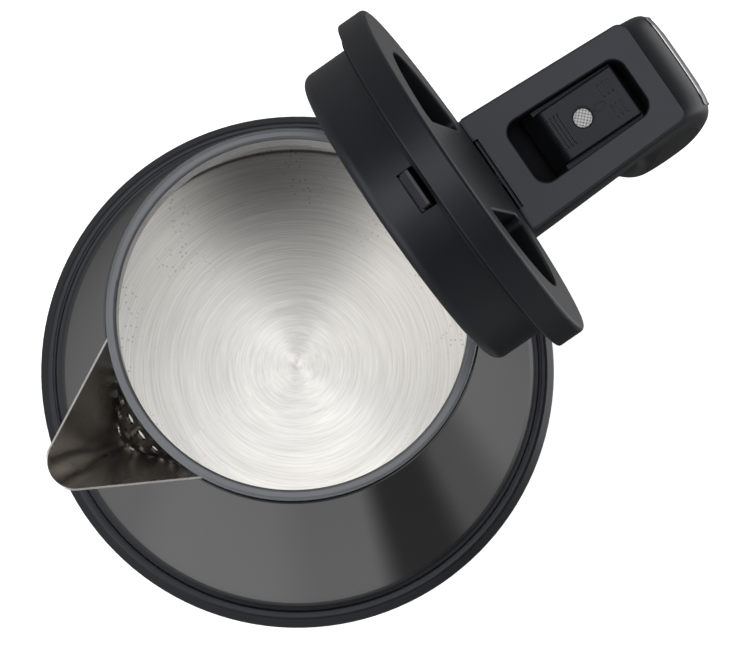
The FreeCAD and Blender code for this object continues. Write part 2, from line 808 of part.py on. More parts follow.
def switch_body():
    near = well_near + 9.1
    top = well_floor - well_wall
    body = box(near, near + 23, -8, 8, top - 8.6, top)
    tools = [box(pivot_x - 3.8, pivot_x + 3.8, -3.6, 3.6, top - 3.4, top + 1)]
    tools.append(cylinder(1.65, top - 3, top + 1, pivot_x - 7.5, 0))
    for y in (-1.7, 0.0, 1.7):
        tools.append(bar_x(0.7, near - 1, near + 2, y, wire_z + 0.2))
    return cut(body, tools)


def switch_lamp():
    low = well_floor - well_wall - 3
    return turned([(0, low), (1.5, low), (1.5, low + 5.6, 1.3), (0, low + 5.6)]).translated(
        Vec(pivot_x - 7.5, 0, 0))


def steam_bimetal():
    return bar_x(4.0, well_near + 8.5, well_near + 9.1, 0, well_floor - well_wall - 4.3).cut(
        bar_x(2.9, well_near + 7, well_near + 10, 0, wire_z + 0.2))


def handle_screws():
    screws = []
    for y in (-11.0, 11.0):
        head = bar_x(2.4, hinge_x + 1.6, hinge_x + 3.0, y, wire_z)
        shank = bar_x(1.25, hinge_x - 3.6, hinge_x + 2, y, wire_z)
        slot = box(hinge_x + 2.4, hinge_x + 4, y - 1.8, y + 1.8, wire_z - 0.35, wire_z + 0.35)
        screws.append(head.fuse(shank).cut(slot))
    return Part.makeCompound(screws)


# half width of the well at x, inside
def well_half_at(x):
    return well_near_half + (well_far_half - well_near_half) * (x - well_near) / well_length


def rocker():
    near = rocker_near
    far = near + rocker_length
    low = pivot_z - 1.6
    body = side_block([
        (near - 2.6, low), (near - 2.6, low + 2.2, 1.4), (near + 1.6, rocker_top, 2.6),
        (far, rocker_top, 0.8), (far, low + 1.2), (pivot_x + 6, low)], rocker_half)
    sides = [edge for edge in body.Edges if edge.BoundBox.YLength < 0.01 and edge.BoundBox.ZMax > low + 2.3]
    body = body.makeFillet(rocker_edge, sides)
    near_half = well_half_at(near - 2.6) - skirt_gap
    far_half = well_half_at(far) - skirt_gap
    skirt = plan_block([(near - 2.6, -near_half), (far, -far_half), (far, far_half), (near - 2.6, near_half)],
                       low + 0.6, rocker_top - skirt_drop)
    ramp = side_block([
        (near - 2.6, low), (near - 2.6, low + 1.2, 0.8), (near + 0.2, rocker_top - skirt_drop, 0.8),
        (far, rocker_top - skirt_drop), (far, low + 1.2), (pivot_x + 6, low)], well_near_half)
    body = body.fuse(skirt.common(ramp))
    body = body.fuse(bar_y(pin_radius, -well_near_half - 0.4, well_near_half + 0.4, pivot_x, pivot_z))
    body = body.fuse(box(pivot_x - 1.4, pivot_x + 1.4, -3, 3, well_floor - 3.2, pivot_z))
    tools = [cylinder(lens_radius + 0.4, rocker_top - 0.5, rocker_top + 1, lens_x, 0)]
    tools.append(cylinder(lens_radius + 0.02, pivot_z + 3.2, rocker_top + 1, lens_x, 0))
    for index in range(4):
        x = near + 2.2 + 1.15 * index
        tools.append(box(x, x + 0.4, -5.2, 5.2, rocker_top - 0.3, rocker_top + 1))
    for side in (-1, 1):
        for index in range(3):
            x = far - 6.4 + 1.5 * index
            low_y, high_y = sorted((side * 1.4, side * 5.4))
            tools.append(box(x, x + 0.4, low_y, high_y, rocker_top - 0.3, rocker_top + 1))
    oval = Part.Ellipse(Vec(far - 9.0, 0, rocker_top - 0.3), 1.9, 1.3).toShape()
    hole = Part.Ellipse(Vec(far - 9.0, 0, rocker_top - 0.3), 1.5, 0.9).toShape()
    mark = Part.Face(Part.Wire(oval)).cut(Part.Face(Part.Wire(hole)))
    tools.append(mark.extrude(Vec(0, 0, 2)))
    return cut(body, tools)


def rocker_lens():
    low = pivot_z + 3.2
    top = rocker_top + 0.1
    return turned([(0, low), (lens_radius, low), (lens_radius, top, 0.4), (0, top)]).translated(
        Vec(lens_x, 0, 0))


# lid and its latch, drawn shut ------------------------------------------------------------

def opened(shape):
    turned_shape = shape.copy()
    turned_shape.rotate(Vec(hinge_x, 0, hinge_z), axis_y, lid_open)
    return turned_shape


def lid_cap():
    top = cap_z + cap_thick
    cap = turned([(0, cap_z), (cap_radius, cap_z, 0.6), (cap_radius, top, 1.4), (0, top)])
    cup = cylinder(dish_radius + 2, dish_z - 1.8, cap_z + 1)
    cavity = tube(cap_radius - 2.4, dish_radius + 2, cap_z - 1, top - 2.2)
    cap = cap.cut(cavity).fuse(cup)
    tools = []
    for side in (-1, 1):
        near, far = sorted((side * bar_half, side * 60))
        pocket = cylinder(dish_radius, dish_z, top + 1).common(box(-60, 60, near, far, dish_z, top + 1))
        cap = cap.cut(pocket.makeFillet(pocket_corner, upright_edges(pocket)))
    rims = [edge for edge in level_edges(cap, top) if edge.BoundBox.XMax < dish_radius + 1]
    cap = cap.makeFillet(pocket_edge, rims)
    under = cylinder(dish_radius - 1.6, dish_z - 3, top - 2.2)
    tools.append(under.common(box(-60, 60, -bar_half + 2, bar_half - 2, dish_z - 3, top - 2.2)))
    tools.append(box(-dish_radius - 3, -dish_radius + 4, -latch_half - 0.8, latch_half + 0.8,
                     dish_z - 3, cap_z - 1.6))
    for x, y in lid_posts():
        tools.append(cylinder(1.35, dish_z - 3, dish_z - 0.4, x, y))
    cap = cut(cap, tools)
    lug = side_block([
        (cap_radius - 5, cap_z + 0.4), (cap_radius - 5, top - 0.8), (hinge_x - 5, top - 0.8, 2.0),
        (hinge_x + 1.4, hinge_z + 3.4), (hinge_x - 0.6, hinge_z - 2), (hinge_x - 3.2, hinge_z - 1.4)],
        lug_half)
    sides = [edge for edge in lug.Edges if edge.BoundBox.YLength < 0.01 and edge.BoundBox.ZMax > hinge_z + 3.5]
    lug = lug.makeFillet(pocket_edge, sides)
    lug = lug.fuse(bar_y(knuckle_radius, -lug_half, lug_half, hinge_x, hinge_z))
    lug = lug.cut(jug_core(0.6))
    cap = cap.fuse(lug)
    return cut(cap, [
        bar_y(pin_radius + run_gap, -20, 20, hinge_x, hinge_z),
        bar_y(knuckle_radius + 0.8, -spring_half, spring_half, hinge_x, hinge_z),
        cylinder(dish_radius - 1.6, cap_z - 1, top - 2.2).common(
            box(0, 60, -bar_half + 2, bar_half - 2, cap_z - 1, top - 2.2))])


def lid_posts():
    return ((0, 25), (0, -25), (28, 0))


def lid_plug():
    low = cap_z - plug_depth
    top = cap_z - 0.1
    cup = turned([
        (0, low), (plug_radius, low, 3.0), (plug_radius, top), (plug_radius - plug_wall, top),
        (plug_radius - plug_wall, low + 2, 1.6), (0, low + 2)])
    for x, y in lid_posts():
        cup = cup.fuse(cylinder(3.4, low + 1, dish_z - 1.9, x, y))
    tools = [box(-plug_radius - 2, -plug_radius + 4, -5.75, 5.75, cap_z - 6.0, cap_z - 1.2)]
    for x, y in lid_posts():
        tools.append(cylinder(1.6, low - 1, cap_z, x, y))
        tools.append(cylinder(2.9, low - 1, low + 1.4, x, y))
    for y in (-8, 0, 8):
        tools.append(box(35, 41, y - 1.5, y + 1.5, low - 1, low + 3))
    return cut(cup, tools)


def lid_screws():
    low = cap_z - plug_depth
    return Part.makeCompound([screw_up(x, y, low + 0.1, low + 1.4, dish_z - 0.6, 2.7, 1.3)
                              for x, y in lid_posts()])


def lid_seal():
    return turned([
        (plug_radius + 0.05, cap_z - 1.4), (mouth_radius - 0.9, cap_z - 1.0, 0.3),
        (mouth_radius - 0.9, cap_z - 0.02), (plug_radius + 0.05, cap_z - 0.02)])


def latch_guide():
    low = cap_z - plug_depth + 2
    high = cap_z - 4.0
    guide = box(-plug_radius + 3.6, -14, -latch_half - 1.8, latch_half + 1.8, low, high)
    channel = box(-plug_radius, -16, -latch_half - 0.1, latch_half + 0.1, cap_z - 7.25, high - 0.3)
    return guide.cut(channel).cut(box(-plug_radius, -27, -latch_half - 0.1, latch_half + 0.1, cap_z - 5, high + 1))


def latch_bolt():
    nose = -mouth_radius - 1.2
    high = cap_z - 2.4
    bolt = side_block([
        (nose, high - 0.8), (nose, high), (-39.0, high), (-39.0, cap_z - 4.35), (-29.0, cap_z - 4.35),
        (-29.0, cap_z - 7.15), (-plug_radius + 2.9, cap_z - 7.15), (-plug_radius + 2.9, high - 2.5),
        (nose + 2.0, high - 2.5)], latch_half)
    ends = [edge for edge in bolt.Edges if edge.BoundBox.XMax < -plug_radius and edge.BoundBox.YLength < 0.01]
    return bolt.makeFillet(bolt_edge, ends)


def latch_spring():
    return coil(1.0, 0.25, 1.5, 12.4, (-28.7, 0, cap_z - 5.8), Vec(1, 0, 0))


def hinge_pin():
    return bar_y(pin_radius, -ear_half + 0.4, ear_half - 0.4, hinge_x, hinge_z)


def hinge_spring():
    return coil(pin_radius + 0.45, 0.4, 1.1, 2 * spring_half - 1.4, (hinge_x, -spring_half + 0.7, hinge_z), Vec(0, 1, 0))


save("base_shell", base_shell(), 0)
save("base_floor", base_floor(), 0)
save("base_feet", base_feet(), 0)
save("base_screws", base_screws(), 0)
save("socket_housing", socket_housing(), 0)
save("socket_contacts", socket_contacts(), 0)
save("socket_post", socket_post(), 0)
save("terminal_block", terminal_block(), 0)
save("terminal_screws", terminal_screws(), 0)
save("base_wires", base_wires(), 0)
save("cord_bush", cord_bush(), 0)

save("foot_collar", foot_collar())
save("bottom_cover", bottom_cover())
save("bottom_screws", bottom_screws())
save("outer_shell", outer_shell())
save("inner_pot", inner_pot())
save("mouth_ring", mouth_ring())
save("spout", spout())
save("floor_plate", floor_plate())
save("floor_seal", floor_seal())
save("diffuser", diffuser())
save("heating_element", heating_element())
save("element_pins", element_pins())
save("control_unit", control_unit())
save("limiter_discs", limiter_discs())
save("control_screws", control_screws())
save("connector_rings", connector_rings())
save("connector_sleeve", connector_sleeve())
save("wiring", wiring())
save("steam_duct", steam_duct())

grip = handle_solid(0)
save("handle_shell", handle_shell(grip, handle_solid(handle_wall)))
save("grip_pads", grip_pads(grip))
save("spine_trim", spine_trim(grip))
save("top_plate", top_plate())
save("switch_body", switch_body())
save("switch_lamp", switch_lamp())
save("steam_bimetal", steam_bimetal())
save("handle_screws", handle_screws())
save("hinge_pin", hinge_pin())
save("hinge_spring", hinge_spring())
save("rocker", rocker())
save("rocker_lens", rocker_lens())

save("lid_cap", opened(lid_cap()))
save("lid_plug", opened(lid_plug()))
save("lid_screws", opened(lid_screws()))
save("lid_seal", opened(lid_seal()))
save("latch_guide", opened(latch_guide()))
save("latch_bolt", opened(latch_bolt()))
save("latch_spring", opened(latch_spring()))
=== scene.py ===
import json
from math import radians
import bmesh
import bpy
import numpy as np
from mathutils import Matrix, Vector


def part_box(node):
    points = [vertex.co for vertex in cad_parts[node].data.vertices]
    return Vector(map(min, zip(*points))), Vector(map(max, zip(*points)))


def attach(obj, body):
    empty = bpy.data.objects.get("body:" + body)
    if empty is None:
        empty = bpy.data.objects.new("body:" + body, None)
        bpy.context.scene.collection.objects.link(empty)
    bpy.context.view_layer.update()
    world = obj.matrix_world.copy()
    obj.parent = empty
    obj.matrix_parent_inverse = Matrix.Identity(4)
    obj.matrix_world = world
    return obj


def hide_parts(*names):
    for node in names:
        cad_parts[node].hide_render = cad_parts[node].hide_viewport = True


# Cordless electric kettle with its lid open, on a round power base. Metres, +Z up, +X towards the handle.
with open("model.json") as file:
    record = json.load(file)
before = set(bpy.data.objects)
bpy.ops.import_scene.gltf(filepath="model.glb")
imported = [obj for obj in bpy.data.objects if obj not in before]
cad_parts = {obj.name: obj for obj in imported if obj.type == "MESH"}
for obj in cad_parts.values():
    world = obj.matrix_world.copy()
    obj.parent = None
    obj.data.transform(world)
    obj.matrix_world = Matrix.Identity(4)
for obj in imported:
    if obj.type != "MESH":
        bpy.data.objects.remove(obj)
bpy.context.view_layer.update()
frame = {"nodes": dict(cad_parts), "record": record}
nodes = frame["nodes"]
mm = 0.001


# sRGB hex to the linear colour that a shader reads
def linear(hexColour):
    parts = [int(hexColour[i:i + 2], 16) / 255 for i in (1, 3, 5)]
    return tuple(p / 12.92 if p <= 0.04045 else ((p + 0.055) / 1.055) ** 2.4 for p in parts) + (1.0,)


# a node with its settings, its input values and its incoming links, by input name or number
def addNode(tree, kind, settings={}, values={}, links={}):
    node = tree.nodes.new(kind)
    for name, value in settings.items():
        setattr(node, name, value)
    for name, value in values.items():
        node.inputs[name].default_value = value
    for name, output in links.items():
        tree.links.new(output, node.inputs[name])
    return node


# a new material with one shader, whose even values stand on the shader's own sockets
def newMaterial(name, colour, values):
    material = bpy.data.materials.new(name)
    material.use_nodes = True
    tree = material.node_tree
    tree.nodes.clear()
    shader = addNode(tree, "ShaderNodeBsdfPrincipled", values={"Base Color": linear(colour), **values})
    addNode(tree, "ShaderNodeOutputMaterial", links={"Surface": shader.outputs["BSDF"]})
    return material, tree, shader


# quads between rows x columns points, numbered row by row; closed joins the last column to the first
def gridFaces(rows, columns, closed, first=0):
    index = first + np.arange(rows * columns).reshape(rows, columns)
    if closed:
        index = np.concatenate([index, index[:, :1]], axis=1)
    quads = [index[:-1, :-1], index[:-1, 1:], index[1:, 1:], index[1:, :-1]]
    return np.stack(quads, axis=-1).reshape(-1, 4)


# one object from several grids of points in millimetres, each grid open or closed round its rows
def pieceFromGrids(name, grids, material, sharpAngle=32, recalculate=True):
    points, faces, count = [], [], 0
    for grid, closed in grids:
        rows, columns = grid.shape[:2]
        faces.append(gridFaces(rows, columns, closed, count))
        points.append(grid.reshape(-1, 3))
        count += rows * columns
    mesh = bpy.data.meshes.new(name)
    mesh.from_pydata(np.concatenate(points) * mm, [], np.concatenate(faces).tolist())
    tidyMesh(mesh, recalculate)
    mesh.shade_smooth()
    mesh.set_sharp_from_angle(angle=radians(sharpAngle))
    mesh.materials.append(material)
    piece = bpy.data.objects.new(name, mesh)
    bpy.context.scene.collection.objects.link(piece)
    return piece


# doubles merged, specks of faces dissolved, faces turned outwards where asked
def tidyMesh(mesh, recalculate):
    work = bmesh.new()
    work.from_mesh(mesh)
    bmesh.ops.remove_doubles(work, verts=work.verts, dist=0.002 * mm)
    bmesh.ops.dissolve_degenerate(work, edges=work.edges, dist=0.0005 * mm)
    if recalculate:
        bmesh.ops.recalc_face_normals(work, faces=work.faces)
    work.to_mesh(mesh)
    work.free()
    mesh.update()


# profile corners (radius, height, round) to points, each round corner becoming an arc of that radius
def roundedProfile(corners, steps=6, closed=True):
    flat = [np.array(corner[:2], float) for corner in corners]
    rounds = [corner[2] if len(corner) > 2 else 0.0 for corner in corners]
    points = []
    for index, corner in enumerate(flat):
        if rounds[index] <= 0 or (not closed and index in (0, len(flat) - 1)):
            points.append(corner[None])
            continue
        before = flat[index - 1] - corner
        after = flat[(index + 1) % len(flat)] - corner
        before = before / np.linalg.norm(before)
        after = after / np.linalg.norm(after)
        halfAngle = np.arccos(np.clip(before @ after, -1, 1)) / 2
        middle = (before + after) / np.linalg.norm(before + after)
        centre = corner + middle * rounds[index] / np.sin(halfAngle)
        start = corner + before * rounds[index] / np.tan(halfAngle) - centre
        end = corner + after * rounds[index] / np.tan(halfAngle) - centre
        share = np.linspace(0, 1, steps + 1)[:, None]
        sweep = np.pi - 2 * halfAngle
        arc = (np.sin((1 - share) * sweep) * start + np.sin(share * sweep) * end) / np.sin(sweep)
        points.append(centre + arc)
    return np.concatenate(points)


# a profile of (radius, height) turned about Z: x = r cos a, y = r sin a, z = h
def turnedGrid(profile, segments):
    angle = np.linspace(0, 2 * np.pi, segments, endpoint=False)
    radius, height = profile[:, :1], profile[:, 1:]
    return np.stack([radius * np.cos(angle), radius * np.sin(angle), height + 0 * angle], axis=-1)


# a finished piece rides on its body and hides the nodes it stands for
def place(piece, body, slotName, *replaced):
    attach(piece, body)
    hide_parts(*replaced)


# the point on the object, counted in millimetres from a centre that is given in millimetres too
def objectPoint(tree, centre=(0, 0, 0)):
    source = addNode(tree, "ShaderNodeTexCoord")
    return addNode(tree, "ShaderNodeMapping", {"vector_type": "TEXTURE"},
                   {"Location": [c * mm for c in centre], "Scale": (mm, mm, mm)},
                   {"Vector": source.outputs["Object"]})


cloudSize = 18.0    # millimetres across the faint clouds in a moulding's colour and gloss


# moulded plastic: spark grain, slightly uneven gloss and a faint cloud in the colour; real spark grain is
# about a tenth of a millimetre and is drawn a few times coarser, so that it shows
def mouldedPlastic(name, finish):
    material, tree, shader = newMaterial(name, finish["colour"], {
        "IOR": 1.5, "Specular IOR Level": finish.get("specular", 0.5), "Specular Tint": linear("#eceefa"),
        "Coat Weight": finish.get("coat", 0.0), "Coat Roughness": finish.get("coatRoughness", 0.05)})
    place3d = objectPoint(tree)
    grain = addNode(tree, "ShaderNodeTexNoise", values={"Scale": 1 / finish["grain"], "Detail": 2.0},
                    links={"Vector": place3d.outputs["Vector"]})
    cloud = addNode(tree, "ShaderNodeTexNoise", values={"Scale": 1 / cloudSize, "Detail": 3.0},
                    links={"Vector": place3d.outputs["Vector"]})
    gloss = addNode(tree, "ShaderNodeMapRange", values={
        "To Min": finish["roughness"] - finish.get("uneven", 0.05),
        "To Max": finish["roughness"] + finish.get("uneven", 0.05)}, links={"Value": cloud.outputs["Fac"]})
    tint = addNode(tree, "ShaderNodeValToRGB", links={"Fac": cloud.outputs["Fac"]})
    tint.color_ramp.elements[0].position = 0.3
    tint.color_ramp.elements[0].color = linear(finish["colour"])
    tint.color_ramp.elements[1].position = 0.75
    tint.color_ramp.elements[1].color = linear(finish["colourHigh"])
    bump = addNode(tree, "ShaderNodeBump", values={"Strength": 1.0, "Distance": finish["depth"] * mm},
                   links={"Height": grain.outputs["Fac"]})
    colour, roughness = tint.outputs["Color"], gloss.outputs["Result"]
    if "wellTop" in finish:    # below this height the surface is the well's
        height = addNode(tree, "ShaderNodeSeparateXYZ", links={"Vector": place3d.outputs["Vector"]})
        wellShadeAndDull = addNode(tree, "ShaderNodeMapRange", values={
            "From Min": finish["wellTop"], "From Max": finish["wellTop"] - finish["wellBlend"]},
            links={"Value": height.outputs["Z"]})
        # the well's colour is painted near black here: painted shade in the recess, not the plastic's own
        # colour
        colour = addNode(tree, "ShaderNodeMix", {"data_type": "RGBA"}, {7: linear(finish["wellShadeColour"])},
                         {0: wellShadeAndDull.outputs["Result"], 6: colour}).outputs[2]
        roughness = addNode(tree, "ShaderNodeMix", values={3: finish["wellRoughness"]},
                            links={0: wellShadeAndDull.outputs["Result"], 2: roughness}).outputs[0]
    tree.links.new(colour, shader.inputs["Base Color"])
    tree.links.new(roughness, shader.inputs["Roughness"])
    tree.links.new(bump.outputs["Normal"], shader.inputs["Normal"])
    return material


# metal with a lay: lines that run round the Z axis when it is "turned", along the stretched axis when it is
# "sheet", and none when it is "cast"; real tool marks are finer than a tenth of a millimetre and are drawn
# several times coarser, so that they show
def workedMetal(name, finish):
    material, tree, shader = newMaterial(name, finish["colour"], {
        "Metallic": 1.0, "Anisotropic": finish.get("anisotropic", 0.0), "Anisotropic Rotation": 0.25})
    spot = objectPoint(tree)
    if finish["lay"] == "turned":
        parts = addNode(tree, "ShaderNodeSeparateXYZ", links={"Vector": spot.outputs["Vector"]})
        flat = addNode(tree, "ShaderNodeCombineXYZ", links={"X": parts.outputs["X"], "Y": parts.outputs["Y"]})
        radius = addNode(tree, "ShaderNodeVectorMath", {"operation": "LENGTH"},
                         links={0: flat.outputs["Vector"]})
        angle = addNode(tree, "ShaderNodeMath", {"operation": "ARCTAN2"},
                        links={0: parts.outputs["Y"], 1: parts.outputs["X"]})
        slow = addNode(tree, "ShaderNodeMath", {"operation": "MULTIPLY"},
                       {1: finish["pitch"] / finish["arc"]}, {0: angle.outputs[0]})
        spot = addNode(tree, "ShaderNodeCombineXYZ", links={
            "X": radius.outputs["Value"], "Y": slow.outputs[0], "Z": parts.outputs["Z"]})
        tangent = addNode(tree, "ShaderNodeTangent", {"direction_type": "RADIAL", "axis": "Z"})
        tree.links.new(tangent.outputs["Tangent"], shader.inputs["Tangent"])
    stretch = finish.get("stretch", (1, 1, 1))
    lines = addNode(tree, "ShaderNodeMapping", {"vector_type": "TEXTURE"}, {"Scale": stretch},
                    {"Vector": spot.outputs["Vector"]})
    fine = addNode(tree, "ShaderNodeTexNoise", values={
        "Scale": 1 / finish["pitch"], "Detail": 4.0, "Roughness": 0.6},
        links={"Vector": lines.outputs["Vector"]})
    broad = addNode(tree, "ShaderNodeTexNoise", values={"Scale": 0.12 / finish["pitch"], "Detail": 2.0},
                    links={"Vector": lines.outputs["Vector"]})
    both = addNode(tree, "ShaderNodeMath", {"operation": "MULTIPLY_ADD"}, {1: 0.6},
                   {0: broad.outputs["Fac"], 2: fine.outputs["Fac"]})
    tint = addNode(tree, "ShaderNodeValToRGB", links={"Fac": fine.outputs["Fac"]})
    tint.color_ramp.elements[0].position = 0.32
    tint.color_ramp.elements[0].color = linear(finish["colour"])
    tint.color_ramp.elements[1].position = 0.7
    tint.color_ramp.elements[1].color = linear(finish["colourHigh"])
    gloss = addNode(tree, "ShaderNodeMapRange", values={
        "To Min": finish["roughness"] - finish.get("uneven", 0.05),
        "To Max": finish["roughness"] + finish.get("uneven", 0.05)}, links={"Value": broad.outputs["Fac"]})
    bump = addNode(tree, "ShaderNodeBump", values={"Strength": 1.0, "Distance": finish["depth"] * mm},
                   links={"Height": both.outputs[0]})
    colour = tint.outputs["Color"]
    if "specks" in finish:    # small dull spots in patches near the rim, where water dries last
        specks = finish["specks"]
        flatPoint = objectPoint(tree).outputs["Vector"]
        dots = addNode(tree, "ShaderNodeTexVoronoi", {"voronoi_dimensions": "2D"},
                       {"Scale": 1 / specks["spacing"]}, {"Vector": flatPoint})
        patches = addNode(tree, "ShaderNodeTexNoise", {"noise_dimensions": "2D"},
                          {"Scale": 1 / specks["patch"], "Detail": 1.0}, {"Vector": flatPoint})
        masks = [(dots.outputs["Distance"], specks["size"], 0.6 * specks["size"], specks["strength"]),
                 (patches.outputs["Fac"], 0.5, 0.65, 1.0), (radius.outputs["Value"], *specks["rim"], 1.0)]
        mask = None
        for source, none, full, level in masks:
            step = addNode(tree, "ShaderNodeMapRange", values={
                "From Min": none, "From Max": full, "To Max": level}, links={"Value": source}).outputs[0]
            mask = step if mask is None else addNode(
                tree, "ShaderNodeMath", {"operation": "MULTIPLY"}, links={0: mask, 1: step}).outputs[0]
        colour = addNode(tree, "ShaderNodeMix", {"data_type": "RGBA"}, {7: linear(specks["colour"])},
                         {0: mask, 6: colour}).outputs[2]
    tree.links.new(colour, shader.inputs["Base Color"])
    tree.links.new(gloss.outputs["Result"], shader.inputs["Roughness"])
    tree.links.new(bump.outputs["Normal"], shader.inputs["Normal"])
    return material


# plastics and rubbers: what each is, how its surface was made and what that gives the eye
plastics = {
    # polypropylene, injection moulded in a spark-eroded tool: an even satin
    "satin_black": ("satinBlackPolypropylene", {"colour": "#101113", "colourHigh": "#15161a",
                    "grain": 0.35, "depth": 0.006, "roughness": 0.36, "specular": 0.42}),
    # the same plastic round the switch: a satin face, and a dull well that the tool's polish didn't reach, its
    # near-black colour painted shade
    "plate_black": ("satinBlackSwitchPlate", {"colour": "#222328", "colourHigh": "#292a2f", "grain": 0.35,
                    "depth": 0.006, "roughness": 0.4, "specular": 0.46, "wellShadeColour": "#060607",
                    "wellRoughness": 0.85, "wellTop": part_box("top_plate")[1].z / mm - 1.2, "wellBlend": 0.8}),
    # steel sheet under baked black lacquer: deep mirror with a trace of orange peel
    "lacquer_black": ("bakedBlackLacquer", {"colour": "#050506", "colourHigh": "#070708", "grain": 2.5,
                      "depth": 0.001, "roughness": 0.14, "uneven": 0.02, "coat": 1.0, "coatRoughness": 0.03}),
    # glass-filled nylon, polished tool: a smooth gloss ring; the plastic is black, and its mid grey colour is a
    # painted reflection
    "ring_black": ("polishedNylonRingPaintedReflection", {"colour": "#626567", "colourHigh": "#696c6e", "grain": 0.6,
                   "depth": 0.001, "roughness": 0.2, "uneven": 0.03}),
    # thermoplastic elastomer, moulded: dull and slightly dusty
    "soft_black": ("softElastomer", {"colour": "#141414", "colourHigh": "#1b1b1b", "grain": 0.25,
                   "depth": 0.008, "roughness": 0.7, "specular": 0.3}),
    # polypropylene from a plain tool, never seen in use
    "hidden_black": ("plainBlackPolypropylene", {"colour": "#161617", "colourHigh": "#1f1f20", "grain": 0.5,
                     "depth": 0.008, "roughness": 0.5}),
    # glass-filled polyamide, moulded: off-white and matt, with the fibres just under the skin
    "control_white": ("glassFilledPolyamide", {"colour": "#c9c6bc", "colourHigh": "#d8d5cb", "grain": 0.4,
                      "depth": 0.01, "roughness": 0.5}),
    # silicone, extruded over the wires: an even low gloss
    "wire_cover": ("siliconeWireCover", {"colour": "#8f2d22", "colourHigh": "#a63a2c", "grain": 0.5,
                   "depth": 0.004, "roughness": 0.45}),
    # silicone, compression moulded: milky and dull
    "silicone": ("mouldedSilicone", {"colour": "#b9b7b1", "colourHigh": "#c8c6c0", "grain": 0.5,
                 "depth": 0.004, "roughness": 0.5}),
    # polypropylene without pigment, extruded: milky and smooth
    "duct_plastic": ("extrudedPolypropyleneDuct", {"colour": "#a9a79f", "colourHigh": "#b7b5ad", "grain": 0.5,
                     "depth": 0.004, "roughness": 0.45}),
    # ABS, moulded in a fine spark-eroded tool: satin, and a shade darker than the plate round it
    "rocker_black": ("satinBlackAbs", {"colour": "#18191b", "colourHigh": "#1e1f22", "grain": 0.3,
                     "depth": 0.005, "roughness": 0.42, "specular": 0.34}),
    # the same ABS where the tool was polished: the ridges catch a thin light, and their lighter grey is a
    # painted highlight
    "rocker_ridge": ("polishedAbsRidgePaintedHighlight", {"colour": "#2a2b2e", "colourHigh": "#323336", "grain": 0.3,
                     "depth": 0.001, "roughness": 0.2, "uneven": 0.03}),
    # acetal, moulded: slippery, so a soft sheen
    "latch_grey": ("acetalLatch", {"colour": "#1a1a1b", "colourHigh": "#222223", "grain": 0.4,
                   "depth": 0.003, "roughness": 0.35}),
}

# metals: what each is, how it was worked, and the lay and gloss which that leaves
metals = {
    # stainless steel, deep drawn and brushed round its axis: streaks of light up the wall
    "brushed_steel": ("brushedStainlessPot", {"colour": "#8f8c87", "colourHigh": "#a5a29c", "roughness": 0.2,
                      "anisotropic": 0.4, "lay": "turned", "arc": 1.5, "pitch": 0.8, "depth": 0.003}),
    # stainless steel, faced on a lathe: rings round the centre, and fans of light across them
    "floor_steel": ("turnedStainlessFloor", {"colour": "#d9d7d3", "colourHigh": "#f1efeb", "roughness": 0.3,
                    "uneven": 0.03, "anisotropic": 0.85, "lay": "turned", "arc": 0.5, "pitch": 0.45,
                    "depth": 0.0014, "specks": {"spacing": 2.6, "size": 0.16, "patch": 14.0, "rim": (36, 50),
                                                "strength": 0.35, "colour": "#7a7773"}}),
    # stainless sheet, bright rolled: a soft mirror with faint upright lines
    "spout_steel": ("brightRolledStainless", {"colour": "#eeeae6", "colourHigh": "#f8f4f0", "roughness": 0.28,
                    "lay": "sheet", "stretch": (1, 1, 12), "pitch": 2.0, "depth": 0.002}),
    # ABS under smoked chrome: a dark warm mirror
    "bright_trim": ("smokedChromeAbs", {"colour": "#8c8886", "colourHigh": "#9a9694", "roughness": 0.22,
                    "lay": "sheet", "stretch": (1, 1, 20), "pitch": 1.0, "depth": 0.001}),
    # ABS under plain bright chrome: a thin clear line of light
    "bright_bead": ("brightChromeAbs", {"colour": "#cfcfd1", "colourHigh": "#dcdcde", "roughness": 0.12,
                    "lay": "cast", "pitch": 1.0, "depth": 0.001}),
    # steel under zinc plate, tumbled: grey with an even haze
    "screw_steel": ("zincPlatedSteel", {"colour": "#8f9090", "colourHigh": "#a6a7a6", "roughness": 0.35,
                    "lay": "cast", "pitch": 0.8, "depth": 0.003}),
    # steel rod, drawn and ground lengthwise: fine lines along it
    "pin_steel": ("groundSteel", {"colour": "#9a9a99", "colourHigh": "#b0b0af", "roughness": 0.25,
                  "lay": "sheet", "stretch": (1, 8, 1), "pitch": 0.5, "depth": 0.002}),
    # spring wire, drawn and oiled: dark and fairly smooth
    "spring_steel": ("drawnSpringSteel", {"colour": "#77787a", "colourHigh": "#8d8e90", "roughness": 0.3,
                     "lay": "cast", "pitch": 0.6, "depth": 0.002}),
    # brass strip, stamped: yellow, slightly dulled by handling
    "contact_brass": ("stampedBrass", {"colour": "#b08d45", "colourHigh": "#c6a458", "roughness": 0.3,
                      "lay": "cast", "pitch": 1.0, "depth": 0.003}),
    # two rolled strips bonded together: a warm grey with the lines of the roll
    "bimetal": ("rolledBimetal", {"colour": "#a59c8c", "colourHigh": "#b6ad9d", "roughness": 0.3,
                "lay": "sheet", "stretch": (8, 1, 1), "pitch": 0.5, "depth": 0.002}),
    # aluminium, pressure die cast: matt with a coarse skin
    "cast_aluminium": ("dieCastAluminium", {"colour": "#8d8e8f", "colourHigh": "#a0a1a2", "roughness": 0.55,
                       "lay": "cast", "pitch": 1.2, "depth": 0.03}),
    # steel sheath, oxidised where it was brazed: brown and matt
    "element_sheath": ("oxidisedElementSheath", {"colour": "#5f5b57", "colourHigh": "#77736e",
                       "roughness": 0.5, "lay": "cast", "pitch": 1.0, "depth": 0.01}),
}


clearCloud = 0.6    # millimetres across the slight unevenness of a clear moulding
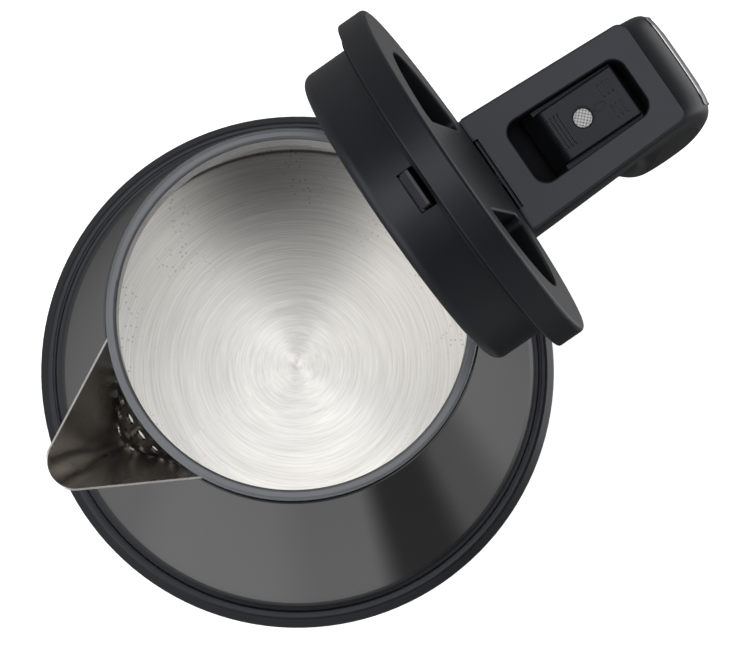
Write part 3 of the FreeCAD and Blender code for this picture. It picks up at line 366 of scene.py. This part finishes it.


# clear or frosted glass-like plastic; its clouds or its moulded cells are under a millimetre across, and the
# grooves between the cells are painted darker as painted shade
def clearPlastic(name, colour, roughness, transmission, cell=None):
    material, tree, shader = newMaterial(name, colour, {
        "IOR": 1.49, "Transmission Weight": transmission, "Roughness": roughness})
    spot = objectPoint(tree, centre=cell["centre"] if cell else (0, 0, 0))
    if cell:
        spot.inputs["Rotation"].default_value = (0, 0, radians(cell["turn"]))
        wave = addNode(tree, "ShaderNodeTexVoronoi", {"voronoi_dimensions": "2D"}, {
            "Scale": 1 / cell["pitch"], "Randomness": 0.0}, {"Vector": spot.outputs["Vector"]})
        # towards each cell's edge the colour goes to a darker grey: painted shade in the grooves
        tint = addNode(tree, "ShaderNodeValToRGB", links={"Fac": wave.outputs["Distance"]})
        tint.color_ramp.elements[0].position = 0.25
        tint.color_ramp.elements[0].color = linear(colour)
        tint.color_ramp.elements[1].position = 0.62
        tint.color_ramp.elements[1].color = linear(cell["groove"])
        tree.links.new(tint.outputs["Color"], shader.inputs["Base Color"])
        height = wave.outputs["Distance"]
    else:
        height = addNode(tree, "ShaderNodeTexNoise", values={"Scale": 1 / clearCloud},
                         links={"Vector": spot.outputs["Vector"]}).outputs["Fac"]
    bump = addNode(tree, "ShaderNodeBump", values={"Distance": 0.002 * mm}, links={"Height": height})
    tree.links.new(bump.outputs["Normal"], shader.inputs["Normal"])
    return material


finishes = {slot: mouldedPlastic(*entry) for slot, entry in plastics.items()}
finishes.update({slot: workedMetal(*entry) for slot, entry in metals.items()})
finishes["lamp_glass"] = clearPlastic("neonLampGlass", "#e8c9b4", 0.1, 0.8)
lensLow, lensHigh = (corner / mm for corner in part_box("rocker_lens"))
# the lamp's lens in the rocker, in millimetres; nearGap is from the rocker's near edge to the lens
lens = {"cell": 0.85, "depth": 0.06, "dome": 0.35, "fade": 0.5, "rings": 40, "segments": 96, "gap": 0.3,
        "nearGap": 8.4}
finishes["lens_clear"] = clearPlastic("waffledAcrylicLens", "#f4f4f3", 0.3, 0.0, {
    "centre": (lensLow + lensHigh) / 2, "turn": 45, "pitch": lens["cell"], "groove": "#85868a"})

ownFinish = {"top_plate": "plate_black"}    # nodes with a finish finer than their slot's
for entry in frame["record"]["subparts"]:
    finish = ownFinish.get(entry["node"], entry["material_slot"])
    for materialSlot in nodes[entry["node"]].material_slots:
        materialSlot.material = finishes[finish]
print("materials made:", len(finishes))


# floor and light; light levels are the room's brightness as gloss sees it
studio = {
    "floorHalf": 6.0, "floorColour": "#f4f4f2", "floorGlow": 0.78, "backdrop": 1.0,
    # a round soft light overhead, with a dark wedge in it towards one side; each edge is (none, full)
    "overhead": 2.75, "overheadEdge": (0.52, 0.34), "wedgeTowards": (-0.515, -0.857, 0.0),
    "wedgeEdge": (0.68, 0.93), "wedgeStart": (0.0, 0.07), "wedgeDepth": 0.97,
    "belt": 0.22, "beltStart": 0.35, "beltFull": 0.75,    # dimmer wall between it and the bright sides
    "sides": 0.5, "sidesStart": -0.85, "sidesFull": -0.1,
    "lightStart": 0.3, "lightFull": 0.6,    # heights on the sky over which the overhead light fades in
    # more soft lights: towards, cosine where it starts, cosine where it is full, level
    "windows": (((0.83, -0.2, -0.52), 0.8, 0.94, 1.1), ((-0.84, 0.12, 0.53), 0.75, 0.93, 1.9),
                ((-0.26, -0.145, -0.955), 0.985, 0.998, 0.05)),
    "under": 0.04, "card": 0.2, "cardStart": 0.13, "cardEnd": 0.32,    # grey cards low around the table
    # gaps between the cards: towards, cosine where it starts, cosine where it is full, light left in it
    "gaps": (((0.13, -0.99, 0.0), 0.95, 0.993, 0.02), ((0.36, -0.933, 0.0), 0.9, 0.985, 0.5)),
}


def makeFloor():
    half = studio["floorHalf"]
    corners = np.array([[-half, -half, 0], [half, -half, 0], [half, half, 0], [-half, half, 0]])
    mesh = bpy.data.meshes.new("floor")
    mesh.from_pydata(corners, [], [(0, 1, 2, 3)])
    material = newMaterial("paleCard", studio["floorColour"], {
        "Roughness": 0.9, "Emission Color": (1, 1, 1, 1), "Emission Strength": studio["floorGlow"]})[0]
    mesh.materials.append(material)
    floor = bpy.data.objects.new("floor", mesh)
    floor.visible_glossy = False    # gloss sees the low grey cards instead of the table
    bpy.context.scene.collection.objects.link(floor)


# smooth step of a value from none (0) at the first edge to full at the second, times a level
def smoothStep(tree, value, edges, level=1.0, start=0.0):
    return addNode(tree, "ShaderNodeMapRange", {"interpolation_type": "SMOOTHSTEP"}, {
        "From Min": edges[0], "From Max": edges[1], "To Min": start, "To Max": level},
        {"Value": value}).outputs["Result"]


# the room as gloss and light see it: a round light overhead, a belt, sides with windows, and grey cards
# low down with gaps; the camera itself sees a pale backdrop
def makeWorld():
    world = bpy.data.worlds.new("studio")
    bpy.context.scene.world = world
    world.use_nodes = True
    tree = world.node_tree
    tree.nodes.clear()
    towards = addNode(tree, "ShaderNodeTexCoord").outputs["Generated"]
    height = addNode(tree, "ShaderNodeSeparateXYZ", links={"Vector": towards}).outputs["Z"]

    def dot(vector, source=towards):
        return addNode(tree, "ShaderNodeVectorMath", {"operation": "DOT_PRODUCT"}, {1: vector},
                       {0: source}).outputs["Value"]

    def combine(operation, first, second):
        return addNode(tree, "ShaderNodeMath", {"operation": operation},
                       links={0: first, 1: second}).outputs[0]

    above = smoothStep(tree, height, (studio["beltStart"], studio["beltFull"]),
                       studio["belt"], studio["sides"])
    flat = addNode(tree, "ShaderNodeVectorMath", {"operation": "MULTIPLY"}, {1: (1, 1, 0)}, {0: towards})
    lean = addNode(tree, "ShaderNodeVectorMath", {"operation": "LENGTH"}, links={0: flat.outputs["Vector"]})
    bearing = addNode(tree, "ShaderNodeVectorMath", {"operation": "NORMALIZE"},
                      links={0: flat.outputs["Vector"]})
    wedge = combine("MULTIPLY", smoothStep(tree, dot(studio["wedgeTowards"], bearing.outputs["Vector"]),
                                           studio["wedgeEdge"], studio["wedgeDepth"]),
                    smoothStep(tree, lean.outputs["Value"], studio["wedgeStart"]))
    unshaded = addNode(tree, "ShaderNodeMath", {"operation": "SUBTRACT"}, {0: 1.0}, {1: wedge}).outputs[0]
    overhead = combine("MULTIPLY", smoothStep(tree, lean.outputs["Value"], studio["overheadEdge"],
                                              studio["overhead"]), unshaded)
    overhead = combine("MULTIPLY", overhead, smoothStep(tree, height, (studio["lightStart"],
                                                                       studio["lightFull"])))
    above = combine("ADD", above, overhead)
    low = smoothStep(tree, lean.outputs["Value"], (studio["cardStart"], studio["cardEnd"]), studio["card"])
    for facing, start, full, left in studio["gaps"]:
        low = combine("MULTIPLY", low, smoothStep(tree, dot(facing, bearing.outputs["Vector"]),
                                                  (start, full), left, 1.0))
    low = addNode(tree, "ShaderNodeMath", {"operation": "ADD"}, {1: studio["under"]}, {0: low}).outputs[0]
    level = addNode(tree, "ShaderNodeMix", links={
        "Factor": smoothStep(tree, height, (studio["sidesStart"], studio["sidesFull"])),
        "A": low, "B": above}).outputs["Result"]
    for facing, start, full, strength in studio["windows"]:
        window = smoothStep(tree, dot(Vector(facing).normalized()), (start, full), strength)
        level = combine("ADD", level, window)
    path = addNode(tree, "ShaderNodeLightPath")
    shown = addNode(tree, "ShaderNodeMix", values={"B": studio["backdrop"]},
                    links={"Factor": path.outputs["Is Camera Ray"], "A": level})
    sky = addNode(tree, "ShaderNodeBackground", links={"Strength": shown.outputs["Result"]})
    addNode(tree, "ShaderNodeOutputWorld", links={"Surface": sky.outputs["Background"]})


# camera high above the spout side, looking down; lens and sensor width in millimetres
view = {"place": (-0.05038, -0.09167, 1.30773), "right": (0.82789, -0.56077, 0.01178),
        "up": (0.55746, 0.82498, 0.09302), "lens": 192, "sensor": 36, "far": 50}


def makeCamera():
    right, up = Vector(view["right"]), Vector(view["up"])
    data = bpy.data.cameras.new("camera")
    data.lens = view["lens"]
    data.sensor_width = view["sensor"]
    data.clip_end = view["far"]
    camera = bpy.data.objects.new("camera", data)
    camera.matrix_world = Matrix.Translation(view["place"]) @ Matrix(
        (right, up, right.cross(up))).transposed().to_4x4()
    bpy.context.scene.collection.objects.link(camera)
    bpy.context.scene.camera = camera


makeFloor()
makeWorld()
makeCamera()
bpy.context.scene.view_settings.view_transform = "Standard"
print("studio set")


# jug walls, spout and floor, in millimetres and degrees; a CAD node's lowest and highest level
def heights(node):
    low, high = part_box(node)
    return low.z / mm, high.z / mm


# outer wall; windowDepth is how far inside the wall the spout's sides are followed to find the window
wall = {"footRadius": 77.4, "topRadius": 51.67, "thick": 1.0, "edge": 0.25, "windowGap": 0.12,
        "windowDepth": 3, "columns": 360}


# radius of the outer wall's outside at height z: a straight cone from foot to top
def wallRadius(z):
    low, high = heights("outer_shell")
    return wall["footRadius"] + (wall["topRadius"] - wall["footRadius"]) * (z - low) / (high - low)


# inner pot; holeStep is an angle, rowHoles counts the strainer's holes from the top row down, dish is how
# far the strainer bulges into the spout and dishTurn the height over which it comes back at its foot
pot = {"floorRadius": 71.4, "topRadius": 49.7, "thick": 0.8, "edge": 0.12, "lipRadius": 66.0, "lipRound": 1.6,
       "holeRadius": 1.72, "holeStep": 6.0, "rowStep": 6.5, "rowHoles": (7, 6, 5, 4, 2), "firstRow": 1.85,
       "dish": 4.2, "dishTurn": 9.0, "columns": 360}


# radius of the pot's outside at height z: a straight cone from the floor to the pot's top
def potRadius(z):
    low, high = heights("floor_plate")[1], heights("inner_pot")[1]
    narrowing = (pot["topRadius"] - pot["floorRadius"]) * (z - low) / (high - low)
    return pot["thick"] + pot["floorRadius"] + narrowing


# spout; reach is its tip's distance from the kettle's axis
spoutSheet = {"halfAngle": 28.4, "reach": 79.5, "tipRound": 8.0, "footRound": 1.9, "footStep": 1.0,
              "thick": 0.55, "edge": 0.2, "potGap": 0.3, "rows": 40, "floorRows": 6}


# sharp corner and tip round of the spout's plan at height z, both growing evenly from foot to rim
def spoutTip(z):
    low, high = heights("spout")
    share = (z - low) / (high - low)
    sine = np.sin(radians(spoutSheet["halfAngle"]))
    cornerFoot = wallRadius(low) + spoutSheet["footStep"]
    cornerTop = spoutSheet["reach"] + spoutSheet["tipRound"] / sine - spoutSheet["tipRound"]
    corner = -(cornerFoot + (cornerTop - cornerFoot) * share)
    return corner, spoutSheet["footRound"] + (spoutSheet["tipRound"] - spoutSheet["footRound"]) * share


# half the spout's plan at heights z: an arc from the tip, then a straight side back to radius core.
# arc: x = centre - round cos b, y = round sin b; side: corner + s (cos a, sin a) where it meets the core
def spoutHalfPlan(z, core, arcSteps=12, sideSteps=26):
    half = radians(spoutSheet["halfAngle"])
    corner, tipRound = (value[:, None] for value in spoutTip(z))
    beta = np.linspace(0, np.pi / 2 - half, arcSteps)[None]
    arcX = corner + tipRound / np.sin(half) - tipRound * np.cos(beta)
    arcY = tipRound * np.sin(beta)
    start = tipRound / np.tan(half)
    end = -corner * np.cos(half) - np.sqrt(core[:, None] ** 2 - (corner * np.sin(half)) ** 2)
    run = start + (end - start) * np.linspace(0, 1, sideSteps + 1)[None, 1:]
    x = np.concatenate([arcX, corner + run * np.cos(half)], axis=1)
    y = np.concatenate([arcY, run * np.sin(half)], axis=1)
    return x, y


# half angle of the wall's window at height z: where the spout's plan crosses the wall's circle
def windowHalfAngle(z):
    radius = wallRadius(z)
    x, y = spoutHalfPlan(z, radius - wall["windowDepth"])
    distance = np.hypot(x, y)
    crossing = np.array([np.interp(r, d[::-1], row[::-1]) for r, d, row in zip(radius, distance, y)])
    outside = distance[:, 0] > radius
    return np.where(outside, np.arcsin((crossing + wall["windowGap"]) / radius), 0.0)


# wall: angle runs from one window edge right round to the other, height runs up the cone, with its rows
# closest together at the window's foot
def makeOuterWall():
    low, high = heights("outer_shell")
    levels = np.linspace(*heights("spout"), 400)
    start = levels[np.argmax(windowHalfAngle(levels) > 0)]
    share = np.linspace(0, 1, 45)[1:] ** 1.6
    z = np.concatenate([np.linspace(low, start, 30), start + (high - start) * share])
    opening = windowHalfAngle(z)[:, None]
    angle = np.pi + opening + (2 * np.pi - 2 * opening) * np.linspace(0, 1, wall["columns"] + 1)[None]
    radius = wallRadius(z)[:, None]
    grid = np.stack([radius * np.cos(angle), radius * np.sin(angle), z[:, None] + 0 * angle], axis=-1)
    piece = pieceFromGrids("outerWall", [(grid, False)], finishes["lacquer_black"], recalculate=False)
    finishSheet(piece, wall["thick"], wall["edge"])
    place(piece, "jug", "lacquer_black", "outer_shell")


# a sheet gets its thickness inwards and softly rounded edges
def finishSheet(piece, thick, edge):
    solid = piece.modifiers.new("sheet thickness", "SOLIDIFY")
    solid.thickness = thick * mm
    solid.offset = -1
    solid.use_even_offset = True
    rounded = piece.modifiers.new("rolled edges", "BEVEL")
    rounded.width = edge * mm
    rounded.segments = 2
    rounded.limit_method = "ANGLE"
    rounded.angle_limit = radians(60)
    rounded.harden_normals = True


# spout: the plan's outline carried up from foot to rim, with a floor back to the pot at the foot
def makeSpout():
    low, high = heights("spout")
    z = np.linspace(low, high, spoutSheet["rows"])
    core = potRadius(np.minimum(z, heights("inner_pot")[1])) + spoutSheet["potGap"]
    x, y = spoutHalfPlan(z, core)
    planX = np.concatenate([x[:, ::-1], x[:, 1:]], axis=1)
    planY = np.concatenate([y[:, ::-1], -y[:, 1:]], axis=1)
    sheet = np.stack([planX, planY, z[:, None] + 0 * planX], axis=-1)
    backX = -np.sqrt(core[0] ** 2 - planY[0] ** 2)
    share = np.linspace(0, 1, spoutSheet["floorRows"] + 1)[:-1, None]
    floorX = backX + (planX[0] - backX) * share
    floor = np.stack([floorX, planY[:1] + 0 * floorX, low + 0 * floorX], axis=-1)
    grid = np.concatenate([floor, sheet])
    piece = pieceFromGrids("spoutSheet", [(grid, False)], finishes["spout_steel"], recalculate=False)
    finishSheet(piece, spoutSheet["thick"], spoutSheet["edge"])
    place(piece, "jug", "spout_steel", "spout")


# the strainer is dished outwards into the spout: dish rise(z) (1 - (angle / half)^2), where half is the
# spout's own half angle at that height and rise goes from 0 at the rim to 1 and back to 0 under the holes
def strainerDish(angle, z):
    top = heights("inner_pot")[1]
    bottom = top - len(pot["rowHoles"]) * pot["rowStep"]
    corner, tipRound = spoutTip(z)
    half = (-corner - potRadius(z)) * np.tan(radians(spoutSheet["halfAngle"])) / potRadius(z)
    rise = np.interp(z, [bottom, bottom + pot["dishTurn"], top], [0, 1, 0])
    rise = rise * rise * (3 - 2 * rise)
    return pot["dish"] * rise * np.clip(1 - ((angle - np.pi) / half) ** 2, 0, 1)


# points on the pot's outside from angle and height
def onPot(angle, z):
    radius = potRadius(z) + strainerDish(angle, z)
    return np.stack([radius * np.cos(angle), radius * np.sin(angle), z + 0 * angle], axis=-1)


# one punched cell: rings from the cell's edge, walked round, to the hole's circle in the same direction
def punchedCell(angle, halfAngle, low, high, middle, steps=6, rings=5):
    run = np.linspace(-1, 1, steps + 1)[:-1]
    u = np.concatenate([run, np.ones(steps), -run, -np.ones(steps)])
    v = np.concatenate([-np.ones(steps), run, np.ones(steps), -run])
    edgeZ = (low + high) / 2 + v * (high - low) / 2
    radius = potRadius(middle)
    edgeX, edgeY = u * halfAngle * radius, edgeZ - middle
    reach = np.hypot(edgeX, edgeY)
    holeX, holeY = edgeX / reach * pot["holeRadius"], edgeY / reach * pot["holeRadius"]
    share = np.linspace(0, 1, rings)[:, None]
    x = edgeX + (holeX - edgeX) * share
    y = edgeY + (holeY - edgeY) * share
    return onPot(angle + x / radius, middle + y), True


# pot: plain cone below, bands of punched cells behind the spout, a turned-in lip under the floor; the
# columns are a degree apart, as the cells' own points are, so that everything joins
def makePot():
    bottom, top = heights("inner_pot")
    half = radians(pot["holeStep"] / 2)
    grids = []
    high = top
    for row, holes in enumerate(pot["rowHoles"]):
        middle = top - pot["firstRow"] - row * pot["rowStep"]
        low = middle - pot["rowStep"] / 2
        centres = np.pi + (np.arange(holes) - (holes - 1) / 2) * 2 * half
        grids += [punchedCell(centre, half, low, high, middle) for centre in centres]
        columns = pot["columns"] - round(holes * pot["holeStep"])
        angle = np.linspace(np.pi + holes * half, 3 * np.pi - holes * half, columns + 1)
        z = np.linspace(low, high, 7)
        grids.append((onPot(angle[None], z[:, None]), False))
        high = low
    lip = roundedProfile([(pot["lipRadius"], bottom), (potRadius(bottom), bottom, pot["lipRound"]),
                          (potRadius(high), high)], closed=False)
    z = np.linspace(lip[-2][1], high, 40)[1:]
    profile = np.concatenate([lip[:-1], np.stack([potRadius(z), z], axis=-1)])
    grids.append((turnedGrid(profile, pot["columns"]), True))
    piece = pieceFromGrids("potWall", grids, finishes["brushed_steel"], recalculate=False)
    finishSheet(piece, pot["thick"], pot["edge"])
    place(piece, "jug", "brushed_steel", "inner_pot")


floorDisc = {"edgeRound": 0.35, "ringPitch": 1.3, "ringDepth": 0.0015, "pipRadius": 1.4, "pipDepth": 0.12,
             "coveRadius": 68.6, "coveWidth": 0.7, "coveDepth": 0.25, "rings": 230, "segments": 240}


# floor: a disc with faint turning ridges, z = top + depth sin(2 pi r / pitch), less a centre pip and a rim
# cove, each depth exp(-(distance / width)^2)
def makeFloorDisc():
    low, high = heights("floor_plate")
    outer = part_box("floor_plate")[1].x / mm
    edge = floorDisc["edgeRound"]
    radius = np.linspace(0, outer - edge, floorDisc["rings"])
    rings = floorDisc["ringDepth"] * np.sin(2 * np.pi * radius / floorDisc["ringPitch"])
    pip = floorDisc["pipDepth"] * np.exp(-(radius / floorDisc["pipRadius"]) ** 2)
    cove = floorDisc["coveDepth"] * np.exp(
        -((radius - floorDisc["coveRadius"]) / floorDisc["coveWidth"]) ** 2)
    face = np.stack([radius, high + rings - pip - cove], axis=-1)[::-1]
    rim = roundedProfile([(0, low), (outer, low, edge), (outer, high, edge), (outer - 2 * edge, high)],
                         closed=False)[:-1]
    grid = turnedGrid(np.concatenate([rim, face]), floorDisc["segments"])
    piece = pieceFromGrids("floorDisc", [(grid, True)], finishes["floor_steel"])
    place(piece, "jug", "floor_steel", "floor_plate")


makeOuterWall()
makeSpout()
makePot()
makeFloorDisc()
print("jug walls, spout and floor made")


# small pieces of the handle, in millimetres; lens: a dome with a waffle that fades out at its edge,
# z = top - depth - dome (r/R)^2 + depth cos(kx) cos(ky), k one cell
def makeLens():
    outer = (lensHigh.x - lensLow.x) / 2 - lens["gap"]
    centre = (lensLow + lensHigh) / 2
    radius = np.linspace(0, outer, lens["rings"])[::-1, None]
    angle = np.linspace(0, 2 * np.pi, lens["segments"], endpoint=False)[None]
    x, y = radius * np.cos(angle), radius * np.sin(angle)
    wave = 2 * np.pi / (lens["cell"] * np.sqrt(2))
    fade = np.clip((outer - radius) / lens["fade"], 0, 1)
    z = (lensHigh.z - lens["depth"] - lens["dome"] * (radius / outer) ** 2
         + lens["depth"] * fade * np.cos(wave * x) * np.cos(wave * y))
    top = np.stack([centre.x + x, centre.y + y, z], axis=-1)
    base = top[:1].copy()
    base[..., 2] = lensLow.z
    middle = base.copy()
    middle[..., :2] = (centre.x, centre.y)
    grid = np.concatenate([middle, base, top])
    piece = pieceFromGrids("lampLens", [(grid, True)], finishes["lens_clear"], 50)
    place(piece, "rocker", "lens_clear", "rocker_lens")


# ridges across the rocker: long ones on the side of the lid, pairs of short ones on the far side; the starts
# are from the rocker's near and far edges, and endPower makes the ends blunt
ridge = {"radius": 0.28, "sink": 0.1, "rows": 24, "sides": 12, "endPower": 12, "nearCount": 4,
         "nearStart": 2.6, "nearStep": 1.15, "nearHalf": 5.1, "farCount": 3, "farStart": -6.2, "farStep": 1.5,
         "farLow": 1.5, "farHigh": 5.3}


# round bars along Y sunk into the rocker's top, radius r sqrt(1 - |2t - 1|^power) along each
def makeRidges():
    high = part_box("rocker")[1] / mm
    near = lensLow.x - lens["nearGap"]
    t = np.linspace(0, 1, ridge["rows"])[:, None]
    around = np.linspace(0, 2 * np.pi, ridge["sides"], endpoint=False)[None]
    radius = ridge["radius"] * np.sqrt(1 - np.abs(2 * t - 1) ** ridge["endPower"])
    bars = [(near + ridge["nearStart"] + ridge["nearStep"] * i, -ridge["nearHalf"], ridge["nearHalf"])
            for i in range(ridge["nearCount"])]
    for i in range(ridge["farCount"]):
        x = high.x + ridge["farStart"] + ridge["farStep"] * i
        bars += [(x, ridge["farLow"], ridge["farHigh"]), (x, -ridge["farHigh"], -ridge["farLow"])]
    grids = []
    for x, start, end in bars:
        y = start + (end - start) * t + 0 * around
        grids.append((np.stack([x + radius * np.cos(around), y,
                                high.z - ridge["sink"] + radius * np.sin(around)], axis=-1), True))
    # the ridges' lighter grey than the rocker is a painted highlight
    piece = pieceFromGrids("rockerRidges", grids, finishes["rocker_ridge"])
    place(piece, "rocker", "rocker_black")


# bright panel down the handle's back with a bead round it; inside bridgeHalf and below bridgeTop it spans
# the joint between the handle and the trim, and it blends into the rest over the two blend lengths
spine = {"halfWidth": 14.8, "halfWidthLow": 11.0, "bottom": 118.0, "top": 213.4, "corner": 3.2,
         "proud": 0.3, "thick": 1.0, "edge": 0.2, "rows": 120, "columns": 40, "standOff": 5, "reach": 1,
         "bridgeHalf": 10.0, "bridgeTop": 208.0, "sideBlend": 1.5, "topBlend": 2,
         "beadRadius": 0.24, "beadStep": 1.0, "beadSides": 12}


# spine: a flat grid with rounded corners behind the handle, pressed forwards on to its back, then given
# its thickness; half width = low + (high - low) height share, less r - sqrt(r^2 - (r - d)^2) near each end
def makeSpine():
    z = np.linspace(spine["bottom"], spine["top"], spine["rows"])
    share = (z - z[0]) / (z[-1] - z[0])
    fromEnd = np.minimum(np.minimum(z - z[0], z[-1] - z), spine["corner"])
    cut = spine["corner"] - np.sqrt(spine["corner"] ** 2 - (spine["corner"] - fromEnd) ** 2)
    half = spine["halfWidthLow"] + (spine["halfWidth"] - spine["halfWidthLow"]) * share - cut
    y = half[:, None] * np.linspace(-1, 1, spine["columns"])[None]
    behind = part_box("handle_shell")[1].x / mm + spine["standOff"]
    grid = np.stack([behind + 0 * y, y, z[:, None] + 0 * y], axis=-1)
    x = pressedOn(grid, "handle_shell", "spine_trim")
    bridged = (np.clip((spine["bridgeHalf"] - np.abs(y)) / spine["sideBlend"], 0, 1)
               * np.clip((spine["bridgeTop"] - z[:, None]) / spine["topBlend"], 0, 1))
    grid[..., 0] = x + (evened(x, spine["reach"]) - x) * bridged + spine["proud"]
    piece = pieceFromGrids("spinePanel", [(grid, False)], finishes["bright_trim"], recalculate=False)
    finishSheet(piece, spine["thick"], spine["edge"])
    place(piece, "jug", "bright_trim", "spine_trim")
    border = np.concatenate([grid[0], grid[1:-1, -1], grid[-1, ::-1], grid[-2:0:-1, 0]])
    path = evenSteps(border, spine["beadStep"])
    tube = closedTube(path, spine["beadRadius"], spine["beadSides"])
    bead = pieceFromGrids("spineBead", [(tube, True)], finishes["bright_bead"])
    place(bead, "jug", "bright_trim")


# x where a grid behind the handle meets the named nodes when it is pressed forwards
def pressedOn(grid, *names):
    work = bmesh.new()
    for name in names:
        work.from_mesh(nodes[name].data)
    form = bpy.data.meshes.new("form")
    work.to_mesh(form)
    work.free()
    block = bpy.data.objects.new("form", form)
    sheet = bpy.data.objects.new("sheet", bpy.data.meshes.new("sheet"))
    sheet.data.from_pydata(grid.reshape(-1, 3) * mm, [], gridFaces(*grid.shape[:2], False).tolist())
    bpy.context.scene.collection.objects.link(block)
    bpy.context.scene.collection.objects.link(sheet)
    press = sheet.modifiers.new("press", "SHRINKWRAP")
    press.target = block
    press.wrap_method = "PROJECT"
    press.use_project_x = True
    press.use_negative_direction = True
    press.use_positive_direction = False
    pressed = sheet.evaluated_get(bpy.context.evaluated_depsgraph_get()).to_mesh()
    flat = np.empty(len(pressed.vertices) * 3)
    pressed.vertices.foreach_get("co", flat)
    bpy.data.objects.remove(sheet)
    bpy.data.objects.remove(block)
    return flat.reshape(grid.shape)[..., 0] / mm


# highest value within reach of each point, so that joints are bridged, then the mean over the same reach
def evened(values, reach):
    rows, columns = values.shape
    shifts = range(2 * reach + 1)
    for merge in (np.max, np.mean):
        wide = np.pad(values, reach, mode="edge")
        values = merge([wide[i:i + rows, j:j + columns] for i in shifts for j in shifts], axis=0)
    return values


# closed polyline walked again at an even step
def evenSteps(points, step):
    ring = np.concatenate([points, points[:1]])
    length = np.concatenate([[0], np.cumsum(np.linalg.norm(np.diff(ring, axis=0), axis=1))])
    along = np.linspace(0, length[-1], int(length[-1] / step), endpoint=False)
    return np.stack([np.interp(along, length, ring[:, axis]) for axis in range(points.shape[1])], axis=-1)


# round section carried along a closed path: p + radius (n cos a + b sin a), n and b across the path
def closedTube(path, radius, sides):
    tangent = np.roll(path, -1, axis=0) - np.roll(path, 1, axis=0)
    tangent /= np.linalg.norm(tangent, axis=1)[:, None]
    across = np.cross(tangent, (1.0, 0.0, 0.0))
    across /= np.linalg.norm(across, axis=1)[:, None]
    over = np.cross(across, tangent)
    angle = np.linspace(0, 2 * np.pi, sides, endpoint=False)[None, :, None]
    ring = path[:, None] + radius * (across[:, None] * np.cos(angle) + over[:, None] * np.sin(angle))
    return np.concatenate([ring, ring[:1]])


makeLens()
makeRidges()
makeSpine()
print("handle pieces made")
